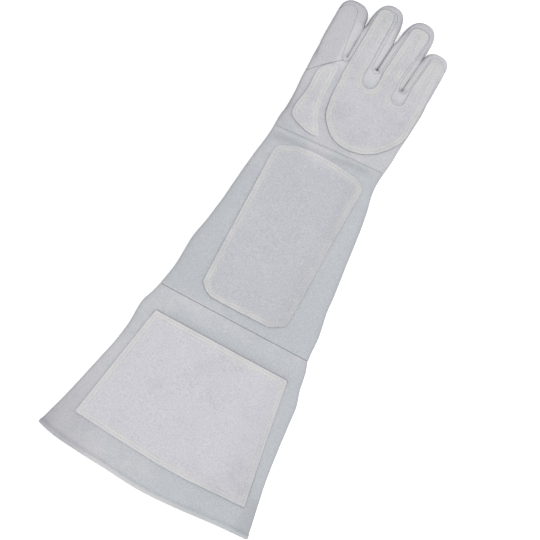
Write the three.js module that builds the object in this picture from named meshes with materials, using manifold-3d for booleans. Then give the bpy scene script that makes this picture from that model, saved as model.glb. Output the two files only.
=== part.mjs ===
// Elbow-length gauntlet of split leather for handling animals: one right-hand glove, lying palm down.
// Millimetres. +Y runs from the cuff mouth to the fingertips, +X to the little finger side, +Z up.
// The thumb is folded under the palm, so that the back of the hand shows no thumb.
import * as THREE from "three";
import { mergeVertices } from "three/addons/utils/BufferGeometryUtils.js";
import Module from "manifold-3d";

const wasm = await Module();
wasm.setup();

// Leather thicknesses and the clearances between sewn pieces.
const LEATHER = 2.0;
const PATCH = 1.6;
const GAP = 0.3;
const HALF_GAP = GAP / 2;

// Seams across the glove.
const SLEEVE_SEAM_Y = 209.6;
const WRIST_SEAM = { y: 425, slope: 0.075 };
const WELT = { width: 1.8, proud: 0.9 };
const HEM = { width: 6.5, proud: 0.5, thickness: 3.6 };

// The widest line runs this share of the way up each cross-section. The seams lie below it.
const WIDEST_SHARE = 0.4;
const SIDE_SEAM_DROP = 1.2;
const FOURCHETTE_DROP = 6.5;

// How the hand leans off the folded thumb, towards the little finger side: fully from LEAN_HEIGHT up
// and not at all on the table.
const LEAN = [
  { y: 415, slope: 0 },
  { y: 465, slope: -0.06 },
  { y: 520, slope: -0.05 },
  { y: 600, slope: 0 },
];
const LEAN_HEIGHT = 30;
// Lines along the glove on which the height of a seam follows the lean.
const LEAN_XS = [-70, -28, 8, 44, 70];

// Cross-sections of the tube from the cuff mouth to the knuckles.
const BODY = [
  { y: -16, left: -142, right: 134, bottom: 0, top: 25 },
  { y: 98, left: -110, right: 113.5, bottom: 0, top: 30.5 },
  { y: 156, left: -99, right: 108, bottom: 0, top: 31.5 },
  { y: 178, left: -98.3, right: 102, bottom: 0, top: 32 },
  { y: 197, left: -92.5, right: 98.5, bottom: 0, top: 31.5 },
  { y: 210, left: -89.5, right: 94.3, bottom: 0, top: 30.5 },
  { y: 238, left: -84.7, right: 92.3, bottom: 0, top: 33 },
  { y: 266, left: -83.3, right: 87.5, bottom: 0, top: 34.5 },
  { y: 298, left: -77.5, right: 84.5, bottom: 0, top: 35 },
  { y: 380, left: -67.2, right: 74.5, bottom: 0, top: 34 },
  { y: 416, left: -62.6, right: 68.8, bottom: 0, top: 29 },
  { y: 430, left: -62.2, right: 69.6, bottom: 1, top: 33 },
  { y: 444, left: -59.8, right: 71.5, bottom: 9, top: 38.5 },
  { y: 460, left: -59.3, right: 72.5, bottom: 14.5, top: 42 },
  { y: 484, left: -60.8, right: 74.3, bottom: 15.5, top: 43 },
  { y: 508, left: -61.2, right: 75, bottom: 15, top: 41.5 },
  { y: 521, left: -60, right: 74, bottom: 15, top: 39 },
];
const KNUCKLE_CAP = 4;
const BODY_LOOP = { over: 16, under: 8, roundness: 2.7 };
// The underside of a section that lies flat is cut from a fuller curve.
const UNDER_FULLNESS = 1.25;

// Height of the finger axes above the table, falling to the tips.
const FINGER_AXIS = [
  { y: 480, z: 29 },
  { y: 520, z: 27 },
  { y: 550, z: 21.5 },
  { y: 575, z: 15.5 },
  { y: 600, z: 12.3 },
];
const FINGER_HEIGHT = { base: 13.2, tip: 11.4 };
const FINGER_LOOP = { over: 7, under: 5, roundness: 2.7 };
// A finger grows out of the palm to its full section.
const FINGER_STATIONS = [
  { y: 488, share: 0.75 },
  { y: 526, share: 1 },
  { y: 550, share: 1 },
];

// The fingers from index to little: each one's axis from ROOT_AXIS_Y to the tip, its half widths, the
// length of its rounded tip and its roll in degrees.
const ROOT_AXIS_Y = 500;
const FINGERS = [
  { baseX: -44.4, tipX: -43.8, tipY: 584, base: 16.2, tip: 16.8, cap: 19, roll: -6 },
  { baseX: -10.6, tipX: -5.9, tipY: 598.5, base: 16.6, tip: 17.3, cap: 31, roll: -4 },
  { baseX: 23.4, tipX: 33.6, tipY: 597.5, base: 16.6, tip: 17.0, cap: 28, roll: 0 },
  { baseX: 58.3, tipX: 62.2, tipY: 573.3, base: 15.8, tip: 13.8, cap: 15, roll: 5 },
];
// Angles of the rows that round off a tip.
const TIP_ANGLES = [22, 43, 62, 80];
const TIP_ROUNDNESS = 2.6;

// Thumb, folded flat under the palm.
const THUMB = {
  root: new THREE.Vector2(-33, 418),
  tip: new THREE.Vector2(2, 511),
  stations: [
    { along: 0, halfWidth: 11 },
    { along: 24, halfWidth: 18 },
    { along: 50, halfWidth: 20 },
    { along: 82, halfWidth: 17.5 },
  ],
  halfHeight: 6.5,
  seam: 45,
  reach: 120,
};

// Plan outlines of the cuts and patches, as seen from above. One that runs out of the glove ends
// on one of these lines outside it.
const BESIDE = { left: -90, right: 100, cuff: 150 };
const BEYOND_TIPS_Y = 700;
const MOUTH_EDGE = [
  [-BESIDE.cuff, 13],
  [-107, 3.8],
  [-43, -0.8],
  [2, -3.6],
  [40, -1.8],
  [97, 3],
  [BESIDE.cuff, 5],
];
const INDEX_SEAM = [
  [BESIDE.left, 471],
  [-59, 490],
  [-45.5, 503.5],
  [-29.5, 517.8],
];
// Finger backs: x of the side edges at y STRIP_Y and where the end starts to round off.
const STRIP_Y = 527;
const STRIPS = {
  index: { left: [BESIDE.left, BESIDE.left], right: [-33, -39.4], end: 575.5, round: 9 },
  middle: { left: [-22.6, -20.2], right: [2.4, 0.6], end: 591, round: 10 },
  ring: { left: [13.2, 19], right: [38.6, 43.5], end: 590, round: 11 },
  little: { left: [49.6, 54], right: [BESIDE.right, BESIDE.right], end: 566, round: 8 },
};
// Middle of the crotch between the index and middle fingers.
const INDEX_CROTCH_X = -26;
const CROTCHES = [
  { left: "index", right: "middle", bottom: 517.5, tips: 572 },
  { left: "middle", right: "ring", bottom: 521.5, tips: 582 },
  { left: "ring", right: "little", bottom: 516.5, tips: 563 },
];
// The hand patch: its rounded heel, its lobes on three fingers and the low ends of its two cut-outs.
const HEEL = [
  [-22.5, 527],
  [-22.5, 483],
  [-22, 474.8],
  [-19.6, 459.4],
  [-15.9, 452.3],
  [-10.5, 446.4],
  [-4.4, 441.2],
  [2.4, 437.6],
  [10.2, 435.7],
  [18, 435.2],
  [25.4, 435.6],
  [39.5, 438.8],
  [52, 445.7],
  [62.2, 456],
  [69, 466],
  [72.2, 477],
  [72.2, 527],
];
const LOBES = [
  { left: [-22.2, -19.6], right: [-1.2, -0.7], end: 590.6, round: 8.5 },
  { left: [16, 21.4], right: [35.5, 41.6], end: 589, round: 8.5 },
  { left: [51.8, 55.4], right: [72.2, 72.2], end: 564.5, round: 7 },
];
const CUTOUT_BOTTOMS = [503, 501.5];
const SIDE_PATCH = [
  [-47.5, 498.5],
  [-49, 472],
  [-52.4, 449],
  [-50, 439.5],
  [-42, 434.8],
  [-28, 430.6],
  [-17, 430.9],
  [-14, 434],
  [-23.5, 450],
  [-27.6, 468],
  [-28.5, 492],
  [-30.5, 511],
];
const FOREARM_PATCH = [
  [-50, 396],
  [-46, 405],
  [-33, 412],
  [-10, 417],
  [14, 417.4],
  [36, 415],
  [50, 409.5],
  [56.8, 400],
  [56, 330],
  [55.6, 240],
  [52, 228],
  [40, 222],
  [3, 220.5],
  [-34, 221],
  [-43, 224.5],
  [-49.5, 232],
];
const CUFF_PATCH = [
  [-79.4, 180.3],
  [-104.7, 39],
  [-43.4, 34.4],
  [2, 31.6],
  [40, 31.2],
  [80, 33.2],
  [109.8, 35.3],
  [97, 108],
  [85.3, 180.6],
];

// Cool pale grey suede, the patches a little paler.
const COLOURS = { leather: 0xc0c4c7, patch: 0xc6c6cc };
const ROUGHNESS = 0.95;

// Steps in the curves of the plan outlines.
const STEPS = { corner: 4, crotch: 6, cutout: 8, sidePatch: 20 };
const MITER_LIMIT = 2;
const FAR = 400;

/** Value of a column of a table at y, with straight lines between its rows. */
function columnAt(table, column, y) {
  const next = table.findIndex((row) => row.y >= y);
  if (next <= 0) return table[next < 0 ? table.length - 1 : 0][column];
  const [a, b] = [table[next - 1], table[next]];
  return THREE.MathUtils.mapLinear(y, a.y, b.y, a[column], b[column]);
}

/** A power that keeps its base's sign. */
function signedPower(value, power) {
  return Math.sign(value) * Math.abs(value) ** power;
}

/** A solid from a geometry whose faces close once equal points are merged. */
function solidOf(geometry) {
  const bare = new THREE.BufferGeometry();
  bare.setAttribute("position", geometry.getAttribute("position"));
  if (geometry.index) bare.setIndex(geometry.index);
  const merged = mergeVertices(bare, 1e-4);
  const vertProperties = new Float32Array(merged.getAttribute("position").array);
  const triVerts = new Uint32Array(merged.index.array);
  return new wasm.Manifold(new wasm.Mesh({ numProp: 3, vertProperties, triVerts }));
}

/** Moves a point as the hand leans off the thumb, which stays flat on the table. */
function leaned(p) {
  const share = THREE.MathUtils.clamp(p.z / LEAN_HEIGHT, 0, 1);
  return p.setZ(p.z + columnAt(LEAN, "slope", p.y) * p.x * share);
}

/** A solid skinned over loops of equal length that lean with the hand, each end closed by a fan. */
function loft(loops) {
  const count = loops[0].length;
  const points = loops.flat().map(leaned);
  const ends = [loops[0], loops.at(-1)].map((loop) =>
    loop.reduce((sum, p) => sum.add(p), new THREE.Vector3()).divideScalar(count),
  );
  const [firstEnd, lastEnd] = [points.length, points.length + 1];
  const lastLoop = points.length - count;
  const faces = [];
  for (let j = 0; j < count; j++) {
    const k = (j + 1) % count;
    for (let i = 0; i < loops.length - 1; i++) {
      const [a, b] = [i * count, (i + 1) * count];
      faces.push(a + j, b + j, b + k, a + j, b + k, a + k);
    }
    faces.push(firstEnd, j, k, lastEnd, lastLoop + k, lastLoop + j);
  }
  const geometry = new THREE.BufferGeometry().setFromPoints([...points, ...ends]);
  geometry.setIndex(faces);
  return solidOf(geometry);
}

/** A rounded loop at one y, with `over` and `under` steps above and below z, flat where `floor` stops it. */
function sectionLoop({ x, y, z, halfWidth, rise, drop, floor, over, under, roundness }) {
  const loop = [];
  for (let j = 0; j < over + under; j++) {
    const angle = j < over ? (Math.PI * j) / over : Math.PI * (1 + (j - over) / under);
    const across = signedPower(Math.cos(angle), 2 / roundness) * halfWidth;
    const up = signedPower(Math.sin(angle), 2 / roundness);
    const height = z + up * (up > 0 ? rise : drop);
    loop.push(new THREE.Vector3(x + across, y, Math.max(height, floor)));
  }
  return loop;
}

/** Height at which the glove is widest at y. */
function widestHeight(y) {
  if (y > BODY.at(-1).y) return columnAt(FINGER_AXIS, "z", y);
  const [bottom, top] = ["bottom", "top"].map((column) => columnAt(BODY, column, y));
  return bottom + WIDEST_SHARE * (top - bottom);
}

/** Height of the seam between the back and palm sides at y. */
function sideSeam(y) {
  return widestHeight(y) - SIDE_SEAM_DROP;
}

/** Tube of the cuff, forearm and palm, grown outward by `grow`. */
function bodyTube(grow) {
  const rows = BODY.map((row) => {
    const z = widestHeight(row.y);
    return {
      x: (row.left + row.right) / 2,
      y: row.y,
      z,
      halfWidth: (row.right - row.left) / 2 + grow,
      rise: row.top - z + grow,
      drop: (z - row.bottom) * UNDER_FULLNESS + grow,
      floor: row.bottom - grow,
    };
  });
  const last = rows.at(-1);
  const front = {
    ...last,
    y: last.y + KNUCKLE_CAP + grow,
    halfWidth: last.halfWidth - KNUCKLE_CAP,
    rise: last.rise - KNUCKLE_CAP,
    floor: last.floor + KNUCKLE_CAP,
  };
  return loft([...rows, front].map((row) => sectionLoop({ ...row, ...BODY_LOOP })));
}

/** How far out the rows of a rounded tip lie, and their share of the full section. */
function tipRows() {
  return TIP_ANGLES.map((degrees) => {
    const turn = THREE.MathUtils.degToRad(degrees);
    return { out: Math.sin(turn) ** (2 / TIP_ROUNDNESS), share: Math.cos(turn) ** (2 / TIP_ROUNDNESS) };
  });
}

/** One finger, grown outward by `grow`, from inside the knuckles to its rounded tip. */
function fingerTube(finger, grow) {
  const capStart = finger.tipY - finger.cap;
  const stations = [...FINGER_STATIONS, { y: capStart, share: 1 }];
  const forward = new THREE.Vector3(0, 1, 0);
  const roll = THREE.MathUtils.degToRad(finger.roll);
  const loopAt = (y, scale) => {
    const share = THREE.MathUtils.clamp((y - ROOT_AXIS_Y) / (capStart - ROOT_AXIS_Y), 0, 1);
    const x = THREE.MathUtils.mapLinear(y, ROOT_AXIS_Y, finger.tipY, finger.baseX, finger.tipX);
    const halfWidth = (THREE.MathUtils.lerp(finger.base, finger.tip, share) + grow) * scale;
    const half = (THREE.MathUtils.lerp(FINGER_HEIGHT.base, FINGER_HEIGHT.tip, share) + grow) * scale;
    const size = { x: 0, y, z: 0, halfWidth, rise: half, drop: half, floor: -Infinity };
    const axis = new THREE.Vector3(x, 0, columnAt(FINGER_AXIS, "z", y));
    return sectionLoop({ ...size, ...FINGER_LOOP }).map((p) => p.applyAxisAngle(forward, roll).add(axis));
  };
  const tip = tipRows().map(({ out, share }) => loopAt(capStart + (finger.cap + grow) * out, share));
  return loft([...stations.map((row) => loopAt(row.y, row.share)), ...tip]);
}

/** The thumb, grown outward by `grow`. */
function thumbTube(grow) {
  const along = THUMB.tip.clone().sub(THUMB.root);
  const last = THUMB.stations.at(-1);
  const cap = along.length() - last.along + grow;
  const loopAt = (y, halfWidth, scale) => {
    const height = (THUMB.halfHeight + grow) * scale;
    const size = { x: 0, y, z: 0, halfWidth: (halfWidth + grow) * scale };
    const flat = { rise: height, drop: height * UNDER_FULLNESS, floor: -height };
    return sectionLoop({ ...size, ...flat, ...FINGER_LOOP });
  };
  const straight = THUMB.stations.map((row) => loopAt(row.along, row.halfWidth, 1));
  const tip = tipRows().map(({ out, share }) => loopAt(last.along + cap * out, last.halfWidth, share));
  const heading = new THREE.Matrix4().makeRotationZ(-Math.atan2(along.x, along.y));
  const place = heading.setPosition(THUMB.root.x, THUMB.root.y, THUMB.halfHeight);
  return loft([...straight, ...tip].map((loop) => loop.map((p) => p.applyMatrix4(place))));
}

/** The whole glove as one filled solid, grown outward by `grow`. */
function gloveForm(grow) {
  return FINGERS.reduce(
    (form, finger) => form.add(fingerTube(finger, grow)),
    bodyTube(grow).add(thumbTube(grow)),
  );
}

/** Plan outline moved outward by `grow`, each corner along both its edges' normals. */
function grownOutline(points, grow) {
  const clockwise = THREE.ShapeUtils.isClockWise(points);
  const side = clockwise ? -1 : 1;
  return points.map((p, i) => {
    const before = p.clone().sub(points.at(i - 1)).normalize();
    const after = points[(i + 1) % points.length].clone().sub(p).normalize();
    const miter = before.clone().add(after).normalize();
    const outward = new THREE.Vector2(miter.y, -miter.x).multiplyScalar(side);
    const stretch = 1 / Math.max(miter.dot(after), 1 / MITER_LIMIT);
    return p.clone().addScaledVector(outward, grow * stretch);
  });
}

/** Upright solid over a plan outline, grown by `grow`, from z `low` up. */
function prism(points, grow = 0, low = -FAR) {
  const shape = new THREE.Shape(grownOutline(points, grow));
  const geometry = new THREE.ExtrudeGeometry(shape, { depth: FAR - low, bevelEnabled: false });
  return solidOf(geometry.translate(0, 0, low));
}

/** Everything above a height that changes with y and leans with the hand, lowered by `grow`. */
function above(heightAt, grow = 0) {
  const beyondBody = FINGER_AXIS.filter((row) => row.y > BODY.at(-1).y);
  const ys = [-FAR, ...BODY.map((row) => row.y), ...beyondBody.map((row) => row.y), 2 * FAR];
  const edge = ys.toReversed().map((y) => [y, heightAt(y) - grow]);
  const profile = [...edge, [-FAR, FAR], [2 * FAR, FAR]];
  const xs = [-FAR, ...LEAN_XS, FAR];
  return loft(xs.map((x) => profile.map(([y, z]) => new THREE.Vector3(x, y, z))));
}

/** Plan points from pairs of numbers. */
function outline(pairs) {
  return pairs.map(([x, y]) => new THREE.Vector2(x, y));
}

/** Plan outline of a smooth closed curve through a few points. */
function smoothOutline(pairs, steps) {
  return new THREE.SplineCurve(outline([...pairs, pairs[0]])).getPoints(steps).slice(0, -1);
}

/** Plan area across the glove between two edges, each a function that gives y at x. */
function band(lowEdge, highEdge) {
  return outline([
    [-FAR, lowEdge(-FAR)],
    [FAR, lowEdge(FAR)],
    [FAR, highEdge(FAR)],
    [-FAR, highEdge(-FAR)],
  ]);
}

/** Edge of the wrist seam, moved along the glove by `shift`. */
function wristEdge(shift) {
  return (x) => WRIST_SEAM.y + WRIST_SEAM.slope * x + shift;
}

const FOREARM_END = wristEdge(-WELT.width / 2 - GAP);
const HAND_START = wristEdge(WELT.width / 2 + GAP);

/** Points along the cuff mouth in plan, moved into the glove by `shift`. */
function mouthEdge(shift) {
  return MOUTH_EDGE.map(([x, y]) => new THREE.Vector2(x, y + shift));
}

/** x of a strip's side edge at y. */
function stripEdge(strip, side, y) {
  return THREE.MathUtils.mapLinear(y, STRIP_Y, strip.end - strip.round, ...strip[side]);
}

/** Back of one finger in plan: straight sides from y `start` and a rounded end. */
function fingerBack(strip, start) {
  const { end, round } = strip;
  const [left, right] = [strip.left[1], strip.right[1]];
  const shape = new THREE.Shape();
  shape.moveTo(stripEdge(strip, "left", start), start);
  shape.lineTo(stripEdge(strip, "right", start), start);
  shape.lineTo(right, end - round);
  shape.quadraticCurveTo(right, end, right - round, end);
  shape.lineTo(left + round, end);
  shape.quadraticCurveTo(left, end, left, end - round);
  return shape.getPoints(STEPS.corner);
}

/** Plan area of the side strip between two fingers, round its crotch. */
function crotchOutline({ left, right, bottom, tips }) {
  const edge = (name, side, y) => new THREE.Vector2(stripEdge(STRIPS[name], side, y), y);
  const [from, to] = [edge(left, "right", STRIP_Y), edge(right, "left", STRIP_Y)];
  const radius = (to.x - from.x) / 2;
  const shape = new THREE.Shape([edge(right, "left", tips), edge(left, "right", tips), from]);
  shape.absellipse(from.x + radius, STRIP_Y, radius, STRIP_Y - bottom, Math.PI, 2 * Math.PI, false, 0);
  return shape.getPoints(STEPS.crotch);
}

/** Upright solid over the hand back with three finger backs, grown by `grow`. */
function handBackCutter(grow) {
  const strips = [STRIPS.middle, STRIPS.ring, STRIPS.little];
  const { left, right } = BESIDE;
  const handArea = outline([
    [left, HAND_START(left)],
    [right, HAND_START(right)],
    [right, STRIP_Y],
    [INDEX_CROTCH_X, STRIP_Y],
    ...INDEX_SEAM.toReversed(),
  ]);
  return strips.reduce(
    (sum, strip) => sum.add(prism(fingerBack(strip, STRIP_Y - 1), grow)),
    prism(handArea, grow),
  );
}

/** Upright solid over the back of the index finger beyond its seam, grown by `grow`. */
function indexBackCutter(grow) {
  const [[left, low]] = INDEX_SEAM;
  const right = INDEX_CROTCH_X;
  const beyond = [...INDEX_SEAM, [right, STRIP_Y], [right, BEYOND_TIPS_Y], [left, BEYOND_TIPS_Y]];
  const base = [[left, low], [right, low], [right, STRIP_Y], [left, STRIP_Y]];
  const whole = prism(fingerBack(STRIPS.index, STRIP_Y - 1), grow).add(prism(outline(base), grow));
  return whole.intersect(prism(outline(beyond), grow - GAP));
}

/** Upright solid over the reinforcement on the back of the hand. */
function handPatchCutter() {
  const whole = LOBES.reduce(
    (sum, lobe) => sum.add(prism(fingerBack(lobe, STRIP_Y - 1))),
    prism(outline(HEEL)),
  );
  return CUTOUT_BOTTOMS.reduce((sum, low, i) => {
    const [from, to] = [LOBES[i].right[0], LOBES[i + 1].left[0]];
    const half = (to - from) / 2;
    const cutout = new THREE.Shape(outline([[to, STRIP_Y + 1], [from, STRIP_Y + 1]]));
    cutout.absarc(from + half, low + half, half, Math.PI, 2 * Math.PI, false);
    return sum.subtract(prism(cutout.getPoints(STEPS.cutout)));
  }, whole);
}

/** Splits a solid into the part inside a cutter and the rest, a gap apart. */
function peel(solid, cutter) {
  return [solid.intersect(cutter(0)), solid.subtract(cutter(GAP))];
}

/** The largest body of a solid, without the slivers that a cut can leave beside it. */
function mainBody(solid) {
  return solid.decompose().reduce((best, body) => (body.volume() > best.volume() ? body : best));
}

/** A named mesh of a solid. */
function piece(name, solid, colour) {
  const { vertProperties, numProp, triVerts } = mainBody(solid).getMesh();
  const points = [];
  for (let i = 0; i < vertProperties.length; i += numProp) {
    points.push(new THREE.Vector3().fromArray(vertProperties, i));
  }
  const geometry = new THREE.BufferGeometry().setFromPoints(points);
  geometry.setIndex(new THREE.BufferAttribute(triVerts, 1));
  geometry.computeVertexNormals();
  const material = new THREE.MeshStandardMaterial({ color: colour, roughness: ROUGHNESS, metalness: 0 });
  const mesh = new THREE.Mesh(geometry, material);
  mesh.name = name;
  return mesh;
}

/** The cuff and forearm panels, two of each, and the hem round the mouth. */
function sleevePieces(shell) {
  const upper = above(sideSeam, -HALF_GAP);
  const lower = above(sideSeam, HALF_GAP);
  const cuffEnd = SLEEVE_SEAM_Y - HALF_GAP;
  const cuffTop = outline([[BESIDE.cuff, cuffEnd], [-BESIDE.cuff, cuffEnd]]);
  const cuff = shell.intersect(prism([...mouthEdge(HEM.width + GAP), ...cuffTop]));
  const forearm = shell.intersect(prism(band(() => SLEEVE_SEAM_Y + HALF_GAP, FOREARM_END)));
  const hemArea = [...mouthEdge(0), ...mouthEdge(HEM.width).toReversed()];
  const hem = gloveForm(HEM.proud).subtract(gloveForm(HEM.proud - HEM.thickness));
  return [
    piece("cuff_hem", hem.intersect(prism(hemArea, 0, 0)), COLOURS.leather),
    piece("cuff_top_panel", cuff.intersect(upper), COLOURS.leather),
    piece("cuff_under_panel", cuff.subtract(lower), COLOURS.leather),
    piece("forearm_top_panel", forearm.intersect(upper), COLOURS.leather),
    piece("forearm_under_panel", forearm.subtract(lower), COLOURS.leather),
  ];
}

/** The wrist welt: a bead of leather caught in the seam. */
function wristWelt(inner) {
  const ring = prism(band(wristEdge(-WELT.width / 2), wristEdge(WELT.width / 2)), 0, 0);
  return piece("wrist_welt", gloveForm(WELT.proud).subtract(inner).intersect(ring), COLOURS.leather);
}

/** Plan area of the thumb beyond the seam across its root. */
function thumbArea() {
  const heading = THUMB.tip.clone().sub(THUMB.root).normalize();
  const across = new THREE.Vector2(heading.y, -heading.x);
  const halfSpan = 2 * THUMB.stations.at(-1).halfWidth;
  const corner = (along, side) =>
    THUMB.root.clone().addScaledVector(heading, along).addScaledVector(across, side * halfSpan);
  return [corner(THUMB.seam, -1), corner(THUMB.seam, 1), corner(THUMB.reach, 1), corner(THUMB.reach, -1)];
}

/** The hand: back, index back, side strips between the fingers, thumb halves and palm. */
function handPieces(shell) {
  const foot = (y) => widestHeight(y) - FOURCHETTE_DROP;
  let rest = shell.intersect(prism(band(HAND_START, () => BEYOND_TIPS_Y)));
  const take = (cutter) => {
    const [taken, left] = peel(rest, cutter);
    rest = left;
    return taken;
  };
  const thumb = take((grow) => thumbTube(grow).intersect(prism(thumbArea(), grow)));
  const fourchettes = CROTCHES.map((crotch) =>
    take((grow) => prism(crotchOutline(crotch), grow).intersect(above(foot, grow))),
  );
  const back = take((grow) => handBackCutter(grow).intersect(above(sideSeam, grow)));
  const index = take((grow) => indexBackCutter(grow).intersect(above(sideSeam, grow)));
  const half = (grow) => above(() => THUMB.halfHeight, grow);
  return [
    piece("hand_back", back, COLOURS.leather),
    piece("index_back", index, COLOURS.leather),
    ...CROTCHES.map(({ left, right }, i) =>
      piece(`fourchette_${left}_${right}`, fourchettes[i], COLOURS.leather),
    ),
    piece("thumb_inner", thumb.intersect(half(-HALF_GAP)), COLOURS.leather),
    piece("thumb_outer", thumb.subtract(half(HALF_GAP)), COLOURS.leather),
    piece("palm", rest, COLOURS.leather),
  ];
}

/** The four sewn-on patches. */
function patchPieces() {
  const low = gloveForm(GAP);
  const high = gloveForm(GAP + PATCH);
  const layer = high.subtract(low).intersect(above(widestHeight));
  const sidePatch = prism(smoothOutline(SIDE_PATCH, STEPS.sidePatch));
  return [
    piece("hand_patch", layer.intersect(handPatchCutter()), COLOURS.patch),
    piece("side_patch", layer.intersect(sidePatch), COLOURS.patch),
    piece("forearm_patch", layer.intersect(prism(outline(FOREARM_PATCH))), COLOURS.patch),
    piece("cuff_patch", layer.intersect(prism(outline(CUFF_PATCH))), COLOURS.patch),
  ];
}

const outer = gloveForm(0);
const inner = gloveForm(-LEATHER);
const shell = outer.subtract(inner);

const glove = new THREE.Group();
glove.add(...sleevePieces(shell), wristWelt(inner), ...handPieces(shell), ...patchPieces());

// The origin is on the table, under the middle of the glove's box.
const box = new THREE.Box3().setFromObject(glove);
const middle = box.getCenter(new THREE.Vector3());
glove.position.set(-middle.x, -middle.y, -box.min.z);

export default glove;
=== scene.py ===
"""An elbow-length gauntlet of pale split suede for handling animals, lying palm down.

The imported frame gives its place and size. Its leather is modelled here in millimetres in the glove's own
layout, with x across the hand towards the little finger, y from the cuff mouth to the fingertips and z up,
and each finished piece is then placed in the frame.
"""

import logging
import math
from dataclasses import dataclass, field
from enum import Enum
from typing import Callable, Iterable, NamedTuple, Sequence

import bmesh
import bpy
import numpy as np
from mathutils import Matrix, Vector, noise


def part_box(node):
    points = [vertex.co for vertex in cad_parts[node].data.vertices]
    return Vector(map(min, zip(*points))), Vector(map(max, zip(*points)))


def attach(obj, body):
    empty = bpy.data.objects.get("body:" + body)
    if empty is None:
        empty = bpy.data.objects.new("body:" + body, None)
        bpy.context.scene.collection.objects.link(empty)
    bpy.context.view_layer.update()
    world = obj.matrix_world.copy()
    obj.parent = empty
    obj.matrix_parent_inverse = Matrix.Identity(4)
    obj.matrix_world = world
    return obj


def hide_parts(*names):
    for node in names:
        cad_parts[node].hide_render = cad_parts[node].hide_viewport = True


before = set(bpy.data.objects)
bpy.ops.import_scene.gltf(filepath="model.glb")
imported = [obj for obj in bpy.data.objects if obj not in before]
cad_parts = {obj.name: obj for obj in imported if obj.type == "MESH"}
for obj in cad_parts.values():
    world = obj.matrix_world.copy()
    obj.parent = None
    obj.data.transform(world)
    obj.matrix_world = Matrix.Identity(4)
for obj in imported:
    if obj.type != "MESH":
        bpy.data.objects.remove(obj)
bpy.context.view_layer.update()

log = logging.getLogger("gauntlet")

MM = 0.001
Points = np.ndarray
Depth = Callable[[Points], np.ndarray]
Curve = Callable[[np.ndarray], np.ndarray]
Corner = tuple[float, float]
Fade = tuple[float, float]
Colour = tuple[float, float, float, float]


class Section(NamedTuple):
    """One cross-section of the cuff, forearm and palm."""

    y: float
    left: float
    right: float
    bottom: float
    top: float


class Finger(NamedTuple):
    """A finger's axis from the knuckles to the tip, half widths, rounded length and roll in degrees."""

    base_x: float
    tip_x: float
    tip_y: float
    base: float
    tip: float
    cap: float
    roll: float


class Station(NamedTuple):
    """A value at a place along the glove."""

    y: float
    value: float


class Crotch(NamedTuple):
    """Where two fingers meet.

    The strip between them has a rounded bottom and a tip, and the fingers press against each other from
    squeezed_from on. The last two fields tell how much painted shade darkens their meeting line and its
    lower end.
    """

    bottom: float
    tip: float
    squeezed_from: float
    gap_shade: float
    crotch_foot_shade: float


class Strip(NamedTuple):
    """The back of one finger in plan: its side edges at the knuckles and at its end, and its rounded end."""

    left: tuple[float, float]
    right: tuple[float, float]
    end: float
    round: float


# The cuff, forearm and palm, and how their sections are shaped
BODY = (
    Section(-16, -142, 134, 0, 25),
    Section(98, -110, 113.5, 0, 30.5),
    Section(156, -99, 108, 0, 31.5),
    Section(178, -98.3, 102, 0, 32),
    Section(197, -92.5, 98.5, 0, 31.5),
    Section(210, -89.5, 94.3, 0, 30.5),
    Section(238, -84.7, 92.3, 0, 33),
    Section(266, -83.3, 87.5, 0, 34.5),
    Section(298, -77.5, 84.5, 0, 35),
    Section(380, -67.2, 74.5, 0, 34),
    Section(416, -62.6, 68.8, 0, 29),
    Section(430, -62.2, 69.6, 1, 33),
    Section(444, -59.8, 71.5, 9, 38.5),
    Section(460, -59.3, 72.5, 14.5, 42),
    Section(484, -60.8, 74.3, 15.5, 43),
    Section(508, -61.2, 75, 15, 41.5),
    Section(521, -60, 74, 15, 39),
)
LEAN = (Station(415, 0), Station(465, -0.06), Station(520, -0.05), Station(600, 0))
LEAN_HEIGHT = 30
WIDEST_SHARE = 0.4
SIDE_SEAM_DROP = 1.2
FOURCHETTE_DROP = 6.5
UNDER_FULLNESS = 1.25
ROUNDNESS = 2.7
FINGER_ROUNDNESS = 3.1
KNUCKLE_CAP = 4
RING_STEP = 1.5
TYPICAL_BODY = (90, 17)
TYPICAL_THUMB_WIDTH = 18

# The fingers, from the index finger to the little finger
FINGER_AXIS = (
    Station(480, 29),
    Station(520, 27),
    Station(550, 21.5),
    Station(575, 15.5),
    Station(600, 12.3),
)
FINGER_SHARE = (Station(488, 0.75), Station(526, 1), Station(550, 1))
FINGER_HEIGHT = (13.2, 11.4)
ROOT_AXIS_Y = 500
FINGERS = (
    Finger(-44.4, -43.8, 583, 16.2, 16.8, 18, -6),
    Finger(-10.6, -5.9, 597.9, 16.6, 17.3, 30, -4),
    Finger(23.4, 33.6, 597.5, 16.6, 17.0, 28, 0),
    Finger(58.3, 62.2, 573.3, 15.8, 13.8, 15, 5),
)
TIP_ROUNDNESS = 2.6
TIP_ALLOWANCE = 0.4
FINGER_TIP_RINGS = 15
THUMB_TIP_RINGS = 13

# The thumb, folded under the palm
THUMB_ROOT = Vector((-33, 418))
THUMB_TIP = Vector((2, 511))
THUMB_WIDTHS = (Station(0, 11), Station(24, 18), Station(50, 20), Station(82, 17.5))
THUMB_HALF_HEIGHT = 6.5
THUMB_SEAM = 45
THUMB_TOP = 13.6

# The seams, the hem and the small gaps between pieces
SLEEVE_SEAM_Y = 209.6
SLEEVE_SEAM_START = SLEEVE_SEAM_Y - 1.0
SLEEVE_SEAM_SLOPE = 0.007
WRIST_Y = 425
WRIST_SLOPE = 0.075
HEM_WIDTH = 6.5
HALF_GAP = 0.15
JOIN = 0.02

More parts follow.
